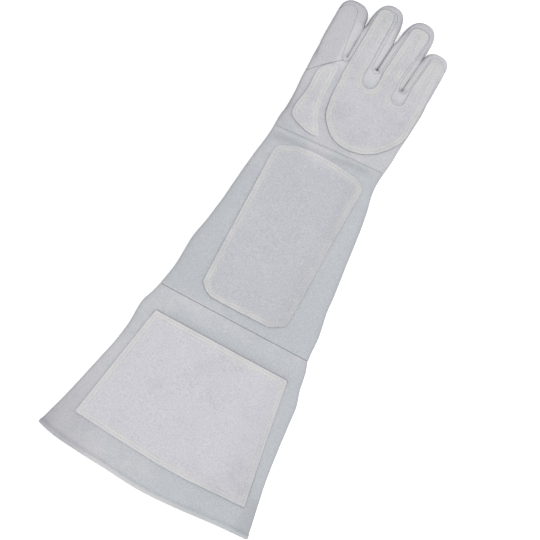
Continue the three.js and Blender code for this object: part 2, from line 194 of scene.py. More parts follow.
# Edges in plan: the cuff's mouth, the index finger's seam and the strips that the fingers' backs are
BESIDE_LEFT = -90
BESIDE_RIGHT = 100
MOUTH_EDGE = ((-150, 13), (-107, 3.8), (-43, -0.8), (2, -3.6), (40, -1.8), (97, 3), (150, 5))
INDEX_SEAM = ((BESIDE_LEFT, 471), (-59, 490), (-45.5, 503.5), (-29.5, 517.8))
STRIP_Y = 527
STRIP_START = STRIP_Y - 30
BEYOND_TIPS = 700
BEFORE_WRIST = 10
PAST_CROTCH_TIP = 6
STRIPS = (
    Strip((BESIDE_LEFT, -60.5), (-33, -39.2), 577.2, 10),
    Strip((-22.6, -20.2), (2.4, 2.8), 592, 10),
    Strip((13.2, 19), (38.6, 43.5), 590, 11),
    Strip((49.6, 54), (BESIDE_RIGHT, 75), 569.5, 9),
)
INDEX_CROTCH_X = -26
CROTCHES = (
    Crotch(bottom=517.5, tip=569.5, squeezed_from=521, gap_shade=0.1, crotch_foot_shade=1.1),
    Crotch(bottom=521.5, tip=582, squeezed_from=524, gap_shade=0.6, crotch_foot_shade=0.1),
    Crotch(bottom=516.5, tip=563, squeezed_from=517, gap_shade=-0.8, crotch_foot_shade=0),
)

# The patches in plan. The hand's patch is its heel with a lobe for each of three fingers.
HEEL = (
    (-22.5, 527), (-22.5, 483), (-22, 474.8), (-19.6, 459.2), (-15.9, 452), (-10.5, 446),
    (-4.4, 440.4), (2.4, 436.4), (10.2, 434.2), (18, 433.6), (25.4, 434), (39.5, 437.4),
    (52, 444.8), (62.2, 456), (69, 466), (72.2, 477), (72.2, 527),
)
LOBES = (
    Strip((-22.2, -19.6), (-1.2, -1.2), 590.6, 9.2),
    Strip((16, 21.4), (35.5, 41.6), 589, 8.5),
    Strip((51.8, 55.4), (72.2, 71.5), 566.5, 7.5),
)
HEEL_EASE = 6
CUTOUT_BOTTOMS = (503, 501.5)
CUTOUT_TOP = STRIP_Y + 3
SIDE_PATCH = (
    (-47.5, 498.5), (-49, 472), (-52.4, 449), (-50, 439.5), (-42, 434.8), (-28, 430.6),
    (-16, 430.4), (-13, 433), (-23, 450), (-27.6, 468), (-28.5, 492), (-30.5, 511),
)
FOREARM_PATCH = (
    (-50, 396), (-48.5, 402.5), (-43, 406), (-28, 412.3), (-10, 414.6), (10, 415), (30, 413.8),
    (46, 412), (55, 407.5), (58.3, 401), (57.3, 385), (56, 330), (56.2, 250), (55.2, 231.5),
    (39.5, 221.6), (3, 220.5), (-33.5, 220.6), (-42, 224.6), (-49.5, 232),
)
CUFF_PATCH = (
    (-79.4, 180.3), (-104.7, 39), (-43.4, 34.4), (2, 31.6), (40, 31.2), (80, 33.2),
    (110, 34.2), (97, 108), (85.3, 180.6),
)


class Profile:
    """A smooth curve through some points, which doesn't overshoot between them."""

    def __init__(self, at: Sequence[float], value: Sequence[float]) -> None:
        """Works out the curve's slopes.

        Args:
            at: Where the points lie, in rising order.
            value: The curve's value at each.
        """
        self.at = np.array(at, float)
        self.value = np.array(value, float)
        rise = np.diff(self.value) / np.diff(self.at)
        before, after = rise[:-1], rise[1:]
        same_way = before * after > 0
        total = np.where(same_way, before + after, 1)
        self.slope = np.concatenate([rise[:1], np.where(same_way, 2 * before * after / total, 0), rise[-1:]])

    def __call__(self, y: np.ndarray) -> np.ndarray:
        """The curve's value at some places.

        Args:
            y: The places.

        Returns:
            The values, which stay level beyond the table's ends.
        """
        y = np.clip(y, self.at[0], self.at[-1])
        i = np.clip(np.searchsorted(self.at, y) - 1, 0, len(self.at) - 2)
        step = self.at[i + 1] - self.at[i]
        t = (y - self.at[i]) / step
        rising = t * t * (3 - 2 * t)
        bend = step * t * (1 - t) * ((1 - t) * self.slope[i] - t * self.slope[i + 1])
        return (1 - rising) * self.value[i] + rising * self.value[i + 1] + bend


def column(rows: Sequence[NamedTuple], name: str) -> Profile:
    """A smooth curve through one column of a table whose rows are in rising order of y."""
    return Profile([row.y for row in rows], [getattr(row, name) for row in rows])


LEFT, RIGHT, BOTTOM, TOP = (column(BODY, name) for name in ("left", "right", "bottom", "top"))
SIDE_PATCH_RIGHT = Profile((430, 433, 450, 468, 492, 511), (-12, -13, -23, -27.6, -28.5, -30.5))
LEAN_SLOPE = column(LEAN, "value")
AXIS_Z = column(FINGER_AXIS, "value")
MOUTH_Y = Profile(*zip(*MOUTH_EDGE))


def signed_power(value: np.ndarray, power: float) -> np.ndarray:
    """A power that keeps its base's sign."""
    return np.sign(value) * np.abs(value) ** power


def smoothstep(low: float, high: float, value: np.ndarray) -> np.ndarray:
    """Rises smoothly from 0 at low to 1 at high."""
    t = np.clip((value - low) / (high - low), 0, 1)
    return t * t * (3 - 2 * t)


def soft_floor(z: np.ndarray, floor: np.ndarray, blend: float = 1.1) -> np.ndarray:
    """Heights that settle smoothly onto a floor."""
    return floor + blend * np.logaddexp(0, (z - floor) / blend)


def leaned(points: Points) -> Points:
    """Leans points with the hand, which lies higher on its thumb side.

    Args:
        points: The points as they would lie level.

    Returns:
        The leaning points.
    """
    share = np.clip(points[..., 2] / LEAN_HEIGHT, 0, 1)
    lifted = points.copy()
    lifted[..., 2] += LEAN_SLOPE(points[..., 1]) * points[..., 0] * share
    return lifted


def section(angle: np.ndarray, roundness: float) -> tuple[np.ndarray, np.ndarray]:
    """How far across and up a flattened section's points lie at some angles, from -1 to 1."""
    return signed_power(np.cos(angle), 2 / roundness), signed_power(np.sin(angle), 2 / roundness)


def rounded_end(count: int) -> tuple[np.ndarray, np.ndarray]:
    """The shape of a rounded tip.

    Args:
        count: How many rings it has, of which the last is a point.

    Returns:
        How far along the tip each ring lies and how wide it is, both from 0 to 1.
    """
    turn = np.linspace(0, math.pi / 2, count + 1)[1:]
    return np.sin(turn) ** (2 / TIP_ROUNDNESS), np.maximum(np.cos(turn), 0) ** (2 / TIP_ROUNDNESS)


def even_angles(count: int, width: float, height: float) -> np.ndarray:
    """Angles round a flattened section that space its points evenly.

    Args:
        count: How many points go round.
        width: The section's half width.
        height: Its half height.

    Returns:
        The angles, from the +x side over the top.
    """
    dense = np.linspace(0, 2 * math.pi, 40 * count + 1)
    across, up = section(dense, ROUNDNESS)
    length = np.concatenate([[0], np.cumsum(np.hypot(np.diff(across * width), np.diff(up * height)))])
    return np.interp(np.linspace(0, length[-1], count + 1)[:-1], length, dense)


def widest_height(y: np.ndarray) -> np.ndarray:
    """Height at which the glove is widest at y, before it leans."""
    body = BOTTOM(y) + WIDEST_SHARE * (TOP(y) - BOTTOM(y))
    return np.where(np.asarray(y) > BODY[-1].y, AXIS_Z(y), body)


def body_rings(ys: np.ndarray, count: int, shrink: np.ndarray | float = 0.0) -> Points:
    """Rings round the cuff, forearm and palm.

    Args:
        ys: Where the rings lie.
        count: Points in a ring.
        shrink: How far each ring is drawn in.

    Returns:
        An array of rings of points.
    """
    across, up = section(even_angles(count, *TYPICAL_BODY)[None, :], ROUNDNESS)
    y = np.asarray(ys, float)[:, None]
    shrink = np.broadcast_to(np.asarray(shrink, float).reshape(-1, 1), y.shape)
    waist = widest_height(np.minimum(y, BODY[-1].y))
    half = (RIGHT(y) - LEFT(y)) / 2 - shrink
    rise = TOP(y) - waist - shrink
    drop = (waist - BOTTOM(y)) * UNDER_FULLNESS - shrink
    z = waist + up * np.where(up > 0, rise, drop)
    x = (RIGHT(y) + LEFT(y)) / 2 + across * half
    points = np.stack([x, np.broadcast_to(y, x.shape), soft_floor(z, BOTTOM(y) + shrink)], axis=-1)
    return leaned(points)


def finger_rings(finger: Finger, count: int, slim: float) -> Points:
    """Rings round one finger, from inside the knuckles to its tip.

    Args:
        finger: The finger's sizes.
        count: Points in a ring.
        slim: How far the finger is drawn in all round.

    Returns:
        An array of rings of points, the last one closed to a point.
    """
    start = finger.tip_y - finger.cap
    length = finger.cap - slim + TIP_ALLOWANCE
    reach, width = rounded_end(FINGER_TIP_RINGS)
    ys = np.concatenate([np.arange(FINGER_SHARE[0].y, start, RING_STEP), start + length * reach])
    scale = np.ones_like(ys)
    scale[-len(width):] = width
    scale = (scale * column(FINGER_SHARE, "value")(ys))[:, None]
    share = np.clip((ys - ROOT_AXIS_Y) / (start - ROOT_AXIS_Y), 0, 1)[:, None]
    half_width = (finger.base + share * (finger.tip - finger.base) - slim) * scale
    half_height = (FINGER_HEIGHT[0] + share * (FINGER_HEIGHT[1] - FINGER_HEIGHT[0]) - slim) * scale
    across, up = section(even_angles(count, finger.base, FINGER_HEIGHT[0])[None, :], FINGER_ROUNDNESS)
    x, z = across * half_width, up * half_height
    roll = math.radians(finger.roll)
    axis_x = np.interp(ys, (ROOT_AXIS_Y, finger.tip_y), (finger.base_x, finger.tip_x))
    axis_x += np.minimum(ys - ROOT_AXIS_Y, 0) * (finger.tip_x - finger.base_x) / (finger.tip_y - ROOT_AXIS_Y)
    turned_x = axis_x[:, None] + x * math.cos(roll) + z * math.sin(roll)
    turned_z = AXIS_Z(ys)[:, None] - x * math.sin(roll) + z * math.cos(roll)
    return leaned(np.stack([turned_x, np.broadcast_to(ys[:, None], x.shape), turned_z], axis=-1))


def meeting_line(left: Finger, right: Finger, y: np.ndarray) -> tuple[np.ndarray, np.ndarray]:
    """The line along which two neighbouring fingers meet.

    Args:
        left: The finger on its left.
        right: The finger on its right.
        y: Where along the fingers.

    Returns:
        The line's x at y, and the distance between the fingers' sides there.
    """
    edges = []
    for finger, side in ((left, 1), (right, -1)):
        share = np.clip((y - ROOT_AXIS_Y) / (finger.tip_y - ROOT_AXIS_Y), 0, 1)
        near, far = finger.base_x + side * finger.base, finger.tip_x + side * finger.tip
        edges.append(near + (far - near) * share)
    return (edges[0] + edges[1]) / 2, edges[1] - edges[0]


def thumb_heading() -> tuple[Vector, Vector, float]:
    """Works out how the folded thumb lies in plan.

    Returns:
        Its direction, the direction across it and its length.
    """
    along = THUMB_TIP - THUMB_ROOT
    heading = along.normalized()
    return heading, Vector((heading.y, -heading.x)), along.length


def along_thumb(points: Points) -> np.ndarray:
    """How far along the thumb each point lies in plan, from its root."""
    heading = thumb_heading()[0]
    return (points[:, 0] - THUMB_ROOT.x) * heading.x + (points[:, 1] - THUMB_ROOT.y) * heading.y


def thumb_rings(low: float, high: float, count: int) -> Points:
    """Rings round the folded thumb.

    Args:
        low: Where the rings start, along the thumb.
        high: Where they end. Beyond the thumb's length they close over its tip.
        count: Points in a ring.

    Returns:
        An array of rings of points.
    """
    heading, side, length = thumb_heading()
    last = THUMB_WIDTHS[-1]
    reach, width = rounded_end(THUMB_TIP_RINGS)
    tip = last.y + (length - last.y) * reach
    stops = np.concatenate([np.arange(low, min(high, last.y), RING_STEP), tip if high > length else []])
    scale = np.ones_like(stops)
    if high > length:
        scale[-len(width):] = width
    angle = even_angles(count, TYPICAL_THUMB_WIDTH, THUMB_HALF_HEIGHT)[None, :]
    across, up = section(angle, ROUNDNESS)
    offset = across * (column(THUMB_WIDTHS, "value")(stops) * scale)[:, None]
    tall = (THUMB_HALF_HEIGHT * scale)[:, None]
    z = soft_floor(up * tall * np.where(up > 0, 1, UNDER_FULLNESS), -tall, 0.6) + THUMB_HALF_HEIGHT
    x = THUMB_ROOT.x + heading.x * stops[:, None] + side.x * offset
    y = THUMB_ROOT.y + heading.y * stops[:, None] + side.y * offset
    return leaned(np.stack([x, y, z], axis=-1))


def skin(rings: Points) -> bmesh.types.BMesh:
    """A closed skin over rings of points, each end closed by a lid unless its ring is a point.

    Args:
        rings: Rings of equal length.

    Returns:
        A bmesh in millimetres.
    """
    rows, columns = rings.shape[:2]
    bm = bmesh.new()
    bmesh.ops.create_grid(bm, x_segments=columns, y_segments=rows - 1, size=0.5)
    for vert in bm.verts:
        row = round((vert.co.y + 0.5) * (rows - 1))
        column = round((vert.co.x + 0.5) * columns) % columns
        vert.co = rings[row, column]
    bmesh.ops.remove_doubles(bm, verts=bm.verts, dist=SAME_PLACE)
    bmesh.ops.holes_fill(bm, edges=[e for e in bm.edges if e.is_boundary], sides=0)
    bmesh.ops.recalc_face_normals(bm, faces=bm.faces)
    return bm


def coordinates(verts: Iterable[bmesh.types.BMVert]) -> Points:
    """The places of some vertices as an array."""
    return np.array([vert.co for vert in verts], float).reshape(-1, 3)


class Region:
    """Part of the glove's surface, given by how many millimetres inside its edge a point lies."""

    def __init__(self, depth: Depth) -> None:
        """Keeps the function that gives the depth."""
        self.depth = depth

    def __call__(self, points: Points) -> np.ndarray:
        """How far inside the region's edge each point lies, negative outside it."""
        return self.depth(points)

    def __and__(self, other: "Region") -> "Region":
        """What lies in both regions."""
        return Region(lambda points: np.minimum(self(points), other(points)))

    def __or__(self, other: "Region") -> "Region":
        """What lies in either region."""
        return Region(lambda points: np.maximum(self(points), other(points)))

    def __invert__(self) -> "Region":
        """What lies outside the region."""
        return Region(lambda points: -self(points))

    def grown(self, by: float) -> "Region":
        """The region with its edge moved outward."""
        return Region(lambda points: self(points) + by)


def inside(outline: Sequence[Corner]) -> Region:
    """The region over a plan outline.

    Args:
        outline: The outline's corners in order, either way round.

    Returns:
        A region whose depth is the distance from the outline.
    """
    corners = np.array(outline, float)
    ends = np.roll(corners, -1, axis=0)

    def depth(points: Points) -> np.ndarray:
        """Measures how far inside the outline points lie.

        Args:
            points: The points.

        Returns:
            Their distances from it, negative outside.
        """
        x, y = points[:, 0], points[:, 1]
        nearest = np.full(len(points), np.inf)
        within = np.zeros(len(points), bool)
        for (ax, ay), (bx, by) in zip(corners, ends):
            run, rise = bx - ax, by - ay
            share = np.clip(((x - ax) * run + (y - ay) * rise) / (run * run + rise * rise + 1e-12), 0, 1)
            nearest = np.minimum(nearest, np.hypot(x - ax - share * run, y - ay - share * rise))
            if ay != by:
                within ^= ((ay > y) != (by > y)) & (x < ax + (y - ay) * run / rise)
        return np.where(within, nearest, -nearest)

    return Region(depth)


def smooth_outline(outline: Sequence[Corner], steps: int = 8) -> list[Corner]:
    """A smooth closed curve through the points of an outline.

    Args:
        outline: The points in order.
        steps: Points of the curve for each of them.

    Returns:
        The points of the curve.
    """
    points = []
    count = len(outline)
    for i in range(count):
        a, b, c, d = (Vector(outline[(i + k) % count]) for k in (-1, 0, 1, 2))
        for t in np.linspace(0, 1, steps, endpoint=False):
            way = (c - a) * t + (2 * a - 5 * b + 4 * c - d) * t ** 2 + (3 * b - a - 3 * c + d) * t ** 3
            point = b + way * 0.5
            points.append((point.x, point.y))
    return points


def eased(outline: Sequence[Corner], radius: float, steps: int = 6) -> list[Corner]:
    """An outline with its corners eased.

    Args:
        outline: The corners in order.
        radius: How far from each corner its curve starts, where the sides are long enough.
        steps: Points on each curve.

    Returns:
        The points of the new outline.
    """
    points = []
    for i, corner in enumerate(outline):
        here = Vector(corner)
        ends = []
        for other in (outline[i - 1], outline[(i + 1) % len(outline)]):
            way = Vector(other) - here
            ends.append(here + way * min(radius / way.length, 0.5))
        for t in np.linspace(0, 1, steps):
            point = ends[0] * (1 - t) ** 2 + here * 2 * t * (1 - t) + ends[1] * t ** 2
            points.append((point.x, point.y))
    return points


def arc(centre: Corner, radii: tuple[float, float], steps: int = 40) -> list[Corner]:
    """The lower half of an ellipse in plan, from its left end to its right end."""
    turns = np.linspace(math.pi, 2 * math.pi, steps)
    return [(centre[0] + radii[0] * math.cos(a), centre[1] + radii[1] * math.sin(a)) for a in turns]


def strip_edge(strip: Strip, side: str, y: float) -> float:
    """x of a strip's side edge at y."""
    near, far = getattr(strip, side)
    return near + (far - near) * (y - STRIP_Y) / (strip.end - strip.round - STRIP_Y)


def finger_back(strip: Strip) -> Region:
    """The back of one finger: straight sides and a rounded end."""
    ends = (("left", STRIP_START), ("left", strip.end), ("right", strip.end), ("right", STRIP_START))
    return inside(eased([(strip_edge(strip, side, y), y) for side, y in ends], strip.round))


def along_y(edge: Curve) -> Region:
    """Everything on the fingers' side of an edge that gives y at x."""
    return Region(lambda points: points[:, 1] - edge(points[:, 0]))


def above(height: Curve) -> Region:
    """Everything above a surface that leans with the hand.

    Args:
        height: Gives the surface's height at y.

    Returns:
        A region whose depth is the height over the surface.
    """

    def depth(points: Points) -> np.ndarray:
        """Measures how high over the surface points lie.

        Args:
            points: The points.

        Returns:
            Their heights, negative below it.
        """
        level = height(points[:, 1])
        share = np.clip(level / LEAN_HEIGHT, 0, 1)
        return points[:, 2] - level - LEAN_SLOPE(points[:, 1]) * points[:, 0] * share

    return Region(depth)


def wrist_y(x: np.ndarray) -> np.ndarray:
    """y of the wrist seam at x."""
    return WRIST_Y + WRIST_SLOPE * x


def side_seam(y: np.ndarray) -> np.ndarray:
    """Height of the seam between the back and palm sides at y."""
    return widest_height(y) - SIDE_SEAM_DROP


BACK_SIDE = above(side_seam)
TOP_SIDE = above(widest_height)
SLEEVE_SEAM = along_y(lambda x: SLEEVE_SEAM_START + SLEEVE_SEAM_SLOPE * x)
PAST_HEM = along_y(lambda x: MOUTH_Y(x) + HEM_WIDTH)
PAST_WRIST = along_y(wrist_y)
PAST_THUMB_SEAM = Region(lambda points: along_thumb(points) - THUMB_SEAM)
OVER_THUMB = Region(lambda points: points[:, 2] - THUMB_TOP)


def hand_area() -> Region:
    """Finds the back of the hand in plan.

    Returns:
        Its region, with three of the finger backs. It starts a little below the wrist seam.
    """
    low = [(x, float(wrist_y(x)) - BEFORE_WRIST) for x in (BESIDE_LEFT, BESIDE_RIGHT)]
    top = [(BESIDE_RIGHT, STRIP_Y), (INDEX_CROTCH_X, STRIP_Y)]
    area = inside([*low, *top, *reversed(INDEX_SEAM)])
    for strip in STRIPS[1:]:
        area = area | finger_back(strip)
    return area


def index_area() -> Region:
    """Finds the back of the index finger in plan.

    Returns:
        Its region beyond the slanted seam.
    """
    left, low = INDEX_SEAM[0]
    right = INDEX_CROTCH_X
    beyond = inside([*INDEX_SEAM, (right, STRIP_Y), (right, BEYOND_TIPS), (left, BEYOND_TIPS)])
    below = low - (STRIP_Y - STRIP_START)
    base = inside([(left, below), (right, below), (right, STRIP_Y), (left, STRIP_Y)])
    return (finger_back(STRIPS[0]) | base) & beyond


def crotch_area(index: int) -> Region:
    """Finds the side strip between two fingers in plan.

    Args:
        index: Which strip, from the index finger's side.

    Returns:
        Its region, rounded below the crotch and open a little beyond its tip.
    """
    left, right = STRIPS[index], STRIPS[index + 1]
    tips = CROTCHES[index].tip + PAST_CROTCH_TIP
    start, end = strip_edge(left, "right", STRIP_Y), strip_edge(right, "left", STRIP_Y)
    radii = ((end - start) / 2, STRIP_Y - CROTCHES[index].bottom)
    low = arc(((start + end) / 2, STRIP_Y), radii)
    return inside([*low, (strip_edge(right, "left", tips), tips), (strip_edge(left, "right", tips), tips)])


def hand_patch_area() -> Region:
    """Finds the second layer on the back of the hand in plan.

    Returns:
        Its region, with the lobes on three fingers and the cut-outs between them.
    """
    area = inside(eased(HEEL, HEEL_EASE))
    for lobe in LOBES:
        area = area | finger_back(lobe)
    for lobe, following, bottom in zip(LOBES, LOBES[1:], CUTOUT_BOTTOMS):
        start, end = lobe.right[0], following.left[0]
        half = (end - start) / 2
        low = arc((start + half, bottom + half), (half, half))
        area = area & ~inside([*low, (end, CUTOUT_TOP), (start, CUTOUT_TOP)])
    return area


@dataclass(frozen=True)
class Cut:
    """How a piece of leather is cut and laid, and whether painted shade darkens its edge."""

    thickness: float = 2.0
    lift: float = 0.0
    edge_radius: float = 0.9
    has_edge_shade: bool = True
    edge_turns: tuple[float, ...] = (24, 48, 70, 90)


# What the points of a form or a sheet carry, and the measures of the cuts
PLACE, NORMAL, TANGENT = "place", "normal", "tangent"
# Of these attributes, the third and fourth carry painted shade and painted highlight for the finish.
EDGE, TONE, SHADE_AND_TONE, EDGE_SHADE, BAND = "edge", "tone", "shade_and_tone", "line", "band"
SNAP = 0.35
SLIVER = 1.01 * SNAP
CLEARANCE = 9.0
SKEW = (0.31, 0.17)
SAME_PLACE = 1e-4


def prepare(bm: bmesh.types.BMesh) -> bmesh.types.BMesh:
    """Keeps a form's normals on its points, where a cut interpolates them.

    Args:
        bm: The form.

    Returns:
        The same bmesh, with layers for what the cuts work out.
    """
    for name in (PLACE, NORMAL, TANGENT):
        bm.verts.layers.float_vector.new(name)
    bm.verts.layers.float.new(EDGE)
    normal = bm.verts.layers.float_vector[NORMAL]
    bm.normal_update()
    for vert in bm.verts:
        vert[normal] = vert.normal
    return bm


def stand(vert: bmesh.types.BMVert, place: bmesh.types.BMLayerItem, height: float) -> None:
    """Keeps a vertex's place and moves it to a height, skewed so that upright faces keep some width.

    Args:
        vert: The vertex.
        place: The layer that takes its place.
        height: Its new height, at which a level plane then cuts.
    """
    vert[place] = vert.co
    vert.co = (vert.co.x + SKEW[0] * vert.co.z, vert.co.y + SKEW[1] * vert.co.z, height)


def cut_sheet(form: bmesh.types.BMesh, region: Region, margin: float) -> bmesh.types.BMesh:
    """Cuts a region out of a form along a smooth line.

    Args:
        form: A prepared form.
        region: The part that is kept.
        margin: How far inside the region's edge the cut runs.

    Returns:
        A new open sheet. Its edge layer holds each point's distance from the region's edge.
    """
    bm = form.copy()
    layers = bm.verts.layers
    place, normal, tangent = (layers.float_vector[name] for name in (PLACE, NORMAL, TANGENT))
    edge = layers.float[EDGE]
    verts = list(bm.verts)
    depths = region(coordinates(verts)) - margin
    far = []
    for vert, depth in zip(verts, depths):
        if depth < -CLEARANCE:
            far.append(vert)
        else:
            stand(vert, place, depth)
    bmesh.ops.delete(bm, geom=far, context="VERTS")
    everything = bm.verts[:] + bm.edges[:] + bm.faces[:]
    level = {"plane_co": (0, 0, 0), "plane_no": (0, 0, 1)}
    bmesh.ops.bisect_plane(bm, geom=everything, dist=SNAP, clear_inner=True, **level)
    slivers = [face for face in bm.faces if max(vert.co.z for vert in face.verts) < SLIVER]
    bmesh.ops.delete(bm, geom=slivers, context="FACES")
    bmesh.ops.delete(bm, geom=[vert for vert in bm.verts if not vert.link_faces], context="VERTS")
    for vert in bm.verts:
        vert.co = vert[place]
        vert[normal] = vert[normal].normalized()
    bm.normal_update()
    border = outward(bm)
    points = coordinates(border)
    gaps = np.clip(region(points) - margin, -2 * SNAP, 2 * SNAP) if len(points) else []
    for vert, gap in zip(border, gaps):
        vert.co += vert[tangent] * gap
    for vert, depth in zip(bm.verts, region(coordinates(bm.verts))):
        vert[edge] = depth
        vert[place] = vert.co
    return bm


def outward(bm: bmesh.types.BMesh) -> list[bmesh.types.BMVert]:
    """Works out, for each point on a sheet's border, the way outward in the sheet's surface.

    Args:
        bm: A sheet with normals kept on its points.

    Returns:
        The border's points, with the direction kept in their tangent layer.
    """
    normal = bm.verts.layers.float_vector[NORMAL]
    tangent = bm.verts.layers.float_vector[TANGENT]
    ways: dict[bmesh.types.BMVert, Vector] = {}
    beside: dict[bmesh.types.BMVert, list[bmesh.types.BMVert]] = {}
    for edge in bm.edges:
        if not edge.is_boundary:
            continue
        loop = edge.link_loops[0]
        start, end = loop.vert, loop.link_loop_next.vert
        way = (end.co - start.co).cross(loop.face.normal)
        for vert, other in ((start, end), (end, start)):
            ways[vert] = ways.get(vert, Vector()) + way
            beside.setdefault(vert, []).append(other)
    for _ in range(2):
        averaged = {}
        for vert, way in ways.items():
            others = sum((ways[other] for other in beside[vert]), Vector())
            averaged[vert] = way * 0.5 + others * (0.5 / len(beside[vert]))
        ways = averaged
    for vert, way in ways.items():
        flat = way - vert[normal] * way.dot(vert[normal])
        vert[tangent] = flat.normalized()
    return list(ways)


def lay(bm: bmesh.types.BMesh, cut: Cut) -> bmesh.types.BMesh:
    """Gives a cut sheet its thickness and a rounded edge.

    Args:
        bm: A sheet from cut_sheet, whose points lie on its form.
        cut: Its thickness, its height over the form and its edge's radius.

    Returns:
        The same bmesh, now a closed slab.
    """
    layers = bm.verts.layers
    place, normal, tangent = (layers.float_vector[name] for name in (PLACE, NORMAL, TANGENT))
    edge = layers.float[EDGE]
    for vert in bm.verts:
        vert.co = vert.co + vert[normal] * cut.lift
        vert[place] = vert.co
    ring = [e for e in bm.edges if e.is_boundary]
    under = bmesh.ops.duplicate(bm, geom=bm.verts[:] + bm.edges[:] + bm.faces[:])["geom"]
    sunk = [item for item in under if isinstance(item, bmesh.types.BMVert)]
    for vert in sunk:
        vert.co = vert[place] - vert[normal] * cut.thickness
        vert[edge] = -cut.thickness
    bmesh.ops.reverse_faces(bm, faces=[item for item in under if isinstance(item, bmesh.types.BMFace)])
    radius = cut.edge_radius
    turns = [math.radians(a) for a in cut.edge_turns]
    steps = [(radius * math.sin(a), radius * (1 - math.cos(a)), radius * (1 - math.sin(a))) for a in turns]
    steps += [(radius, cut.thickness, -0.5 * cut.thickness), (0.0, cut.thickness, -cut.thickness)]
    last: list[bmesh.types.BMVert] = []
    for out, down, depth in steps:
        made = bmesh.ops.extrude_edge_only(bm, edges=ring)["geom"]
        last = [item for item in made if isinstance(item, bmesh.types.BMVert)]
        ring = [item for item in made if isinstance(item, bmesh.types.BMEdge) and item.is_boundary]
        for vert in last:
            vert.co = vert[place] + vert[tangent] * out - vert[normal] * down
            vert[edge] = depth
    bmesh.ops.remove_doubles(bm, verts=last + sunk, dist=SAME_PLACE)
    bmesh.ops.recalc_face_normals(bm, faces=bm.faces)
    # A piece without painted edge shade gets an edge distance too far in for it to show.
    if not cut.has_edge_shade:
        for vert in bm.verts:
            vert[edge] = CLEARANCE
    return bm


def join(parts: Sequence[bmesh.types.BMesh]) -> bmesh.types.BMesh:
    """Joins several bmeshes.

    Args:
        parts: The bmeshes. They are freed.

    Returns:
        One bmesh of them all.
    """
    whole = bmesh.new()
    for part in parts:
        mesh = bpy.data.meshes.new("part")
        part.to_mesh(mesh)
        part.free()
        whole.from_mesh(mesh)
        bpy.data.meshes.remove(mesh)
    return whole


def fused(bm: bmesh.types.BMesh, voxel: float) -> bmesh.types.BMesh:
    """Fuses overlapping skins into one.

    Args:
        bm: Closed skins that overlap. It is freed.
        voxel: The size of the new skin's faces.

    Returns:
        A new closed skin.
    """
    mesh = bpy.data.meshes.new("fused")
    bm.to_mesh(mesh)
    bm.free()
    shape = bpy.data.objects.new("fused", mesh)
    bpy.context.scene.collection.objects.link(shape)
    remesh = shape.modifiers.new("fuse", "REMESH")
    remesh.mode = "VOXEL"
    remesh.voxel_size = voxel
    remesh.adaptivity = 0
    evaluated = shape.evaluated_get(bpy.context.evaluated_depsgraph_get())
    result = bmesh.new()
    result.from_mesh(evaluated.to_mesh())
    evaluated.to_mesh_clear()
    bpy.data.objects.remove(shape)
    bpy.data.meshes.remove(mesh)
    return result


def smooth(bm: bmesh.types.BMesh, rounds: int) -> None:
    """Smooths a skin.

    Args:
        bm: The skin.
        rounds: How many times.
    """
    every_way = {"use_axis_x": True, "use_axis_y": True, "use_axis_z": True}
    for _ in range(rounds):
        bmesh.ops.smooth_vert(bm, verts=bm.verts, factor=0.5, **every_way)


def move_out(bm: bmesh.types.BMesh, distances: np.ndarray) -> None:
    """Moves each point of a skin along its normal.

    Args:
        bm: A skin with normals worked out.
        distances: How far each point moves.
    """
    moves = [vert.normal * float(distance) for vert, distance in zip(bm.verts, distances)]
    for vert, move in zip(bm.verts, moves):
        vert.co += move


class Wave(NamedTuple):
    """A smooth swell of the leather: its size, its place in the noise and its height."""

    size: float
    seed: float
    height: float

    def at(self, point: Vector) -> float:
        """The swell's height at a point."""
        place = point / self.size + Vector((self.seed, 2 * self.seed, 3 * self.seed))
        return noise.noise(place) * self.height


